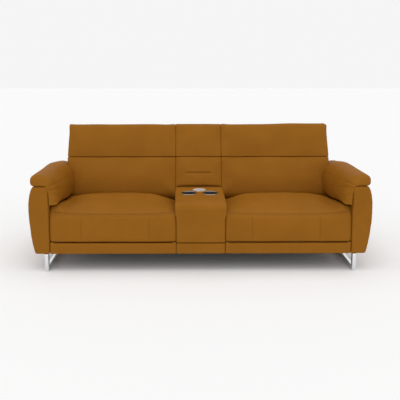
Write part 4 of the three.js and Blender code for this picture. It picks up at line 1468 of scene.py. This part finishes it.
@dataclass
class Arms:
    """Two arms: a body that bulges outwards, and a pillow pad laid over it.

    Attributes:
        raised: How far the joint of body and pad lies over the node's.
        rear_fall: How far the pad's top falls towards its rear.
        play: The gap between body and pad.
        clear: How far the pad's drop stays in front of the back.
        trimmed: Up to which height over its lower edge the drop is lifted.
    """

    shop: Shop
    raised: float = 19 * MM
    rear_fall: float = 42 * MM
    play: float = 0.5 * MM
    clear: float = 8 * MM
    trimmed: float = 0.09

    def build(self) -> None:
        """Makes the left arm and mirrors it."""
        body = self.body()
        pad = self.pad()
        pairs = (
            (body, mirrored(body, "leather_arm_body_right"), "arm_body", 0.8, 61.0),
            (pad, mirrored(pad, "leather_arm_pad_right"), "arm_pad", 0.65, 67.0),
        )
        for left, right, part, fill, seed in pairs:
            for piece, side in zip((left, right), Side):
                uneven = (2.0 * MM, 140 * MM, seed + side.value)
                folds = self.folds(side) if part == "arm_pad" else ()
                self.shop.upholster(piece, f"{part}_{side.word}", fill, uneven, creases=folds)

    def body(self) -> Piece:
        """The body: a narrow foot, a full outer side and a straight inner one."""
        low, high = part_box("arm_body_left")
        top = high.z + self.raised
        corners = (
            Corner(high.x, low.z, 5 * MM, 5 * MM),
            Corner(-1.113, low.z, 6 * MM, 14 * MM),
            Corner(-1.137, 0.235, 60 * MM, 14 * MM),
            Corner(-1.147, 0.37, 50 * MM, 14 * MM),
            Corner(-1.147, 0.45, 26 * MM, 14 * MM),
            Corner(-1.141, 0.507, 26 * MM, 14 * MM),
            Corner(-1.128, 0.556, 12 * MM, 12 * MM),
            Corner(-1.113, top, 8 * MM, 11 * MM),
            Corner(high.x, top, 10 * MM, 10 * MM),
        )
        skin = {"along_x": False, "voxel": 9 * MM, "eased": 2}
        return Form("leather_arm_body_left", corners, low.y, high.y, **skin).made()

    def pad(self) -> Piece:
        """The pad: a pillow over the arm, rolled over its outer edge and dropped inside."""
        low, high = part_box("arm_pad_left")
        arm_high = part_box("arm_body_left")[1]
        beside, under = arm_high.x + self.play, arm_high.z + self.raised + 2 * self.play
        inner = high.x + 6 * MM
        corners = (
            Corner(inner, low.z, 12 * MM, 12 * MM),
            Corner(beside, low.z, 8 * MM, 9 * MM),
            Corner(beside, under, 4 * MM, 13 * MM),
            Corner(-1.130, under, 16 * MM, 26 * MM),
            Corner(-1.134, 0.654, 28 * MM, 44 * MM),
            Corner(-1.052, 0.666, 44 * MM, 56 * MM),
            Corner(-0.985, 0.612, 32 * MM, 60 * MM),
            Corner(inner, 0.520, 44 * MM, 50 * MM),
        )

        def held(at: Vector, way: Vector) -> bool:
            """What lies on the arm's body stays put while the pad swells."""
            return at.x < beside + 8 * MM and at.z < under + 8 * MM

        skin = {"along_x": False, "voxel": 8 * MM, "swell": 8 * MM, "eased": 8, "held": held}
        piece = Form("leather_arm_pad_left", corners, low.y, high.y, **skin).made()
        self.trim(piece, beside, low.z)
        places = positions(piece)
        fall = ramp(places[:, 1], 0.0, 0.42) * ramp(places[:, 2], under, under + 50 * MM)
        places[:, 2] -= self.rear_fall * fall
        move_to(piece, places)
        return piece

    def trim(self, piece: Piece, beside: float, floor: float) -> None:
        """Lifts the drop's lower edge towards the front, and keeps it clear of the back.

        Args:
            piece: The left pad.
            beside: Where the arm's inner side is.
            floor: Height of the drop's lower edge at the rear.
        """
        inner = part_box("lumbar_cushion_left")[0].x - 3 * MM
        ceiling = floor + self.trimmed
        places = positions(piece)
        x, y, z = places.T
        drop = (x > beside - 2 * MM) & (z < ceiling)
        lift = (drop_bottom(y) - floor) * np.clip((ceiling - z) / self.trimmed, 0, 1)
        places[:, 2] = np.where(drop, z + lift, z)
        limit = LEAN.y_at(-self.clear, places[:, 2])
        places[:, 1] = np.where(x > inner, np.minimum(y, limit), y)
        move_to(piece, places)

    def folds(self, side: Side) -> list[Crease]:
        """The short folds where the pad turns down over the arm's inner front corner, with painted
        shade.
        """
        sign = side.value
        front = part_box("arm_pad_left")[0].y
        facing = (-sign * 0.35, -1, 0.2)
        # The groove's last number is the painted shade in each fold.
        groove = (8 * MM, 4 * MM, 0.08)
        rows = (
            ((0.992, 0.596), (0.9, 0.30), 36 * MM, 5 * MM),
            ((0.975, 0.570), (0.95, 0.05), 40 * MM, 6 * MM),
            ((0.962, 0.528), (0.8, -0.35), 30 * MM, -4 * MM),
        )
        return [
            Crease((sign * x, front, z), (-sign * along, 0, rise), facing, half, *groove, bow=bow)
            for (x, z), (along, rise), half, bow in rows
        ]


@dataclass
class DropConsole:
    """The console: a padded slab with two cup wells and a charging disc, hinged at its rear.

    Attributes:
        cup_x: How far a cup's middle lies from the console's.
        cup_y: Where along Y the cups are.
        liner: A well's outer radius.
        wall: The thickness of its wall and of its bottom.
        liner_z: The heights of its underside and of its top.
        rim: A rim's outer radius.
        rim_z: The heights of its underside and of its top.
        disc: The charging disc's radius.
        disc_y: Where along Y its middle is.
        disc_z: The heights of its underside and of its top.
        taper: How much narrower the slab is in front, as a share.
        play: The gap round what is let into the slab.
    """

    shop: Shop
    cup_x: float = 77 * MM
    cup_y: float = -160 * MM
    liner: float = 49 * MM
    wall: float = 2 * MM
    liner_z: tuple[float, float] = (0.4164, 0.4704)
    rim: float = 58.5 * MM
    rim_z: tuple[float, float] = (0.4683, 0.4713)
    disc: float = 48.5 * MM
    disc_y: float = -60 * MM
    disc_z: tuple[float, float] = (0.4653, 0.4713)
    taper: float = 0.022
    play: float = 0.3 * MM

    def build(self) -> None:
        """Makes the slab, its fittings and its underside."""
        self.slab()
        self.base()
        for side in Side:
            self.cup(side)
        self.charger()

    def slab(self) -> None:
        """The padded slab, let out for the board below it, the cups and the disc."""
        low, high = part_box("console_cushion")
        corners = (
            Corner(low.y, low.z, 2 * MM, 3 * MM),
            Corner(high.y, low.z, 12 * MM, 8 * MM),
            Corner(high.y, high.z, 14 * MM, 14 * MM),
            Corner(low.y, high.z, 50 * MM, 12 * MM),
        )
        form = Form("leather_console", corners, low.x, high.x, voxel=4 * MM, eased=1, finer=0)
        piece = form.made()
        places = positions(piece)
        places[:, 0] *= 1 - self.taper * ramp(-places[:, 1], 0.05, 0.46)
        move_to(piece, places)
        unsettle(piece, 0.8 * MM, 140 * MM, 71.0)
        press(piece, 2, low.z, 3 * MM)
        press(piece, 1, low.y, 2.5 * MM)
        play = Vector((self.play, self.play, self.play))
        below = Vector((0, 0, 5 * MM))
        tall = 100 * MM
        board_low, board_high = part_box("console_base")
        self.let_out(piece, block("console_cutter", board_low - play - below, board_high + play))
        cup = (self.liner, self.cup_y, self.liner_z[0])
        disc = (self.disc, self.disc_y, self.disc_z[0])
        for x, (radius, y, z) in ((-self.cup_x, cup), (self.cup_x, cup), (0.0, disc)):
            at = Vector((x, y, z - self.play))
            self.let_out(piece, drum("console_cutter", radius + self.play, at, tall))
        shade(piece, 50)
        self.shop.fit(piece, "console", "leather", ["console_cushion"], fill=0.9)

    def let_out(self, piece: Piece, tool: Piece) -> None:
        """Cuts a tool's shape out of a piece, and takes the tool away."""
        modify(piece, "BOOLEAN", operation="DIFFERENCE", object=tool, solver="EXACT")
        bpy.data.objects.remove(tool)

    def base(self) -> None:
        """The covered board that closes the slab's underside."""
        piece = block("leather_console_underside", *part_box("console_base"))
        ease(piece, 3 * MM)
        shade(piece, 40)
        self.shop.fit(piece, "console", "leather", ["console_base"])

    def cup(self, side: Side) -> None:
        """One black well with its chromed rim."""
        x = side.value * self.cup_x
        low, high = self.liner_z
        well = drum(f"cup_well_{side.word}", self.liner, Vector((x, self.cup_y, low)), high - low)
        depth = high - low - self.wall
        with picked(well, Pick.FACES, lambda at, way: way.z > SQUARE):
            bpy.ops.mesh.inset(thickness=self.wall, depth=0.0)
            bpy.ops.mesh.extrude_region_move(TRANSFORM_OT_translate={"value": (0, 0, -depth)})
            bpy.ops.mesh.inset(thickness=5 * MM, depth=0.0)
        ease(well, 0.7 * MM, sharp=0.7)
        shade(well, 40)
        self.shop.fit(well, "console", "dark_plastic", [f"cup_liner_{side.word}"])
        low, high = self.rim_z
        rim = drum(f"cup_rim_{side.word}", self.rim, Vector((x, self.cup_y, low)), high - low)
        with picked(rim, Pick.FACES, lambda at, way: abs(way.z) > SQUARE):
            bpy.ops.mesh.inset(thickness=self.rim - self.liner - self.play, depth=0.0)
            bpy.ops.mesh.bridge_edge_loops()
        ease(rim, 1.3 * MM, segments=4, sharp=0.7)
        face_out(rim)
        shade(rim, 50)
        self.shop.fit(rim, "console", "ring_chrome", [f"cup_ring_{side.word}"])

    def charger(self) -> None:
        """The charging disc: blasted metal, eased at its edge and dished in the middle."""
        low, high = self.disc_z
        disc = drum("charging_disc", self.disc, Vector((0, self.disc_y, low)), high - low)
        with picked(disc, Pick.FACES, lambda at, way: way.z > SQUARE):
            bpy.ops.mesh.inset(thickness=6 * MM, depth=0.0)
            bpy.ops.mesh.inset(thickness=1 * MM, depth=-0.8 * MM)
        ease(disc, 0.5 * MM, sharp=0.4)
        shade(disc, 40)
        self.shop.fit(disc, "console", "charger_metal", ["charging_pad"])


# The set


@dataclass
class Studio:
    """A pale floor that runs out of sight, soft light from above and in front, and the camera.

    Attributes:
        camera_at: The camera's place.
        pitch: How far it looks down, in degrees.
        yaw: How far it looks to the right, in degrees.
        lens: Its focal length in millimetres, on a sensor as wide as the next value.
        shift: How far its picture is shifted, as shares.
        pale: How bright the backdrop is, to the camera and in mirrors.
        ambient: How bright the sky is as a light.
        floor_size: The length of the floor's sides.
        floor_grey: How much light the floor gives back.
        suns: Name, tilt, turn and width in degrees, and strength of each light.
    """

    camera_at: tuple[float, float, float] = (-0.114, -4.067, 1.373)
    pitch: float = 8.87
    yaw: float = 0.48
    lens: float = 50.2
    sensor: float = 36
    shift: tuple[float, float] = (0.0292, -0.1188)
    pale: float = 0.915
    ambient: float = 0.50
    floor_size: float = 60.0
    floor_grey: float = 0.92
    suns: tuple[tuple[str, float, float, float, float], ...] = (
        ("soft_key", 0, 0, 60, 0.94),
        ("soft_fill_left", 58, -42, 100, 0.69),
        ("soft_fill_right", 58, 42, 100, 0.69),
    )

    def build(self) -> None:
        """Sets up the floor, the light, the camera and the view transform."""
        self.floor()
        self.sky()
        self.lamps()
        self.camera()
        bpy.context.scene.view_settings.view_transform = "Standard"

    def floor(self) -> None:
        """A large plane under the sofa."""
        place = (0, 0, -0.2 * MM)
        add = bpy.ops.mesh.primitive_plane_add
        floor = started("studio_floor", add, size=self.floor_size, location=place)
        material, tree = blank("pale_floor")
        paint = node(tree, "BsdfDiffuse", {"Color": (*(self.floor_grey,) * 3, 1.0)})
        node(tree, "OutputMaterial", {}, {"Surface": paint.outputs["BSDF"]})
        floor.data.materials.append(material)

    def sky(self) -> None:
        """An even sky, which the camera and mirrors see paler than it shines."""
        world = bpy.data.worlds.new("studio_sky")
        bpy.context.scene.world = world
        world.use_nodes = True
        tree = world.node_tree
        tree.nodes.clear()
        rays = node(tree, "LightPath").outputs
        looks = {0: rays["Is Camera Ray"], 1: rays["Is Glossy Ray"]}
        seen = node(tree, "Math", {"operation": "MAXIMUM"}, looks)
        greys = {6: (*(self.ambient,) * 3, 1.0), 7: (*(self.pale,) * 3, 1.0)}
        level = node(tree, "Mix", {"data_type": "RGBA", **greys}, {0: seen.outputs["Value"]})
        sky = node(tree, "Background", {"Strength": 1.0}, {"Color": level.outputs[2]})
        node(tree, "OutputWorld", {}, {"Surface": sky.outputs["Background"]})

    def lamps(self) -> None:
        """A soft key overhead and two wide fills in front."""
        for name, tilt, turn, width, strength in self.suns:
            way = (math.radians(tilt), 0, math.radians(turn))
            bpy.ops.object.light_add(type="SUN", rotation=way)
            lamp = bpy.context.object
            lamp.name = name
            lamp.data.energy = strength
            lamp.data.angle = math.radians(width)

    def camera(self) -> None:
        """The camera, at the height and distance of the photograph."""
        turn = (math.radians(90 - self.pitch), 0, math.radians(-self.yaw))
        bpy.ops.object.camera_add(location=self.camera_at, rotation=turn)
        camera = bpy.context.object
        camera.data.lens = self.lens
        camera.data.sensor_width = self.sensor
        camera.data.shift_x, camera.data.shift_y = self.shift
        bpy.context.scene.camera = camera


def main() -> None:
    """Builds the set and the sofa."""
    logging.basicConfig(level=logging.INFO, format="%(name)s: %(message)s")
    Studio().build()
    shop = Shop(Store())
    assemblies = (
        Carcass,
        SledLegs,
        FrontBands,
        SeatCushions,
        LowSeat,
        LumbarCushions,
        BackShells,
        Headrests,
        Arms,
        DropConsole,
    )
    for assembly in assemblies:
        assembly(shop).build()
        LOG.info("%s finished", assembly.__name__)


if __name__ == "__main__":
    main()
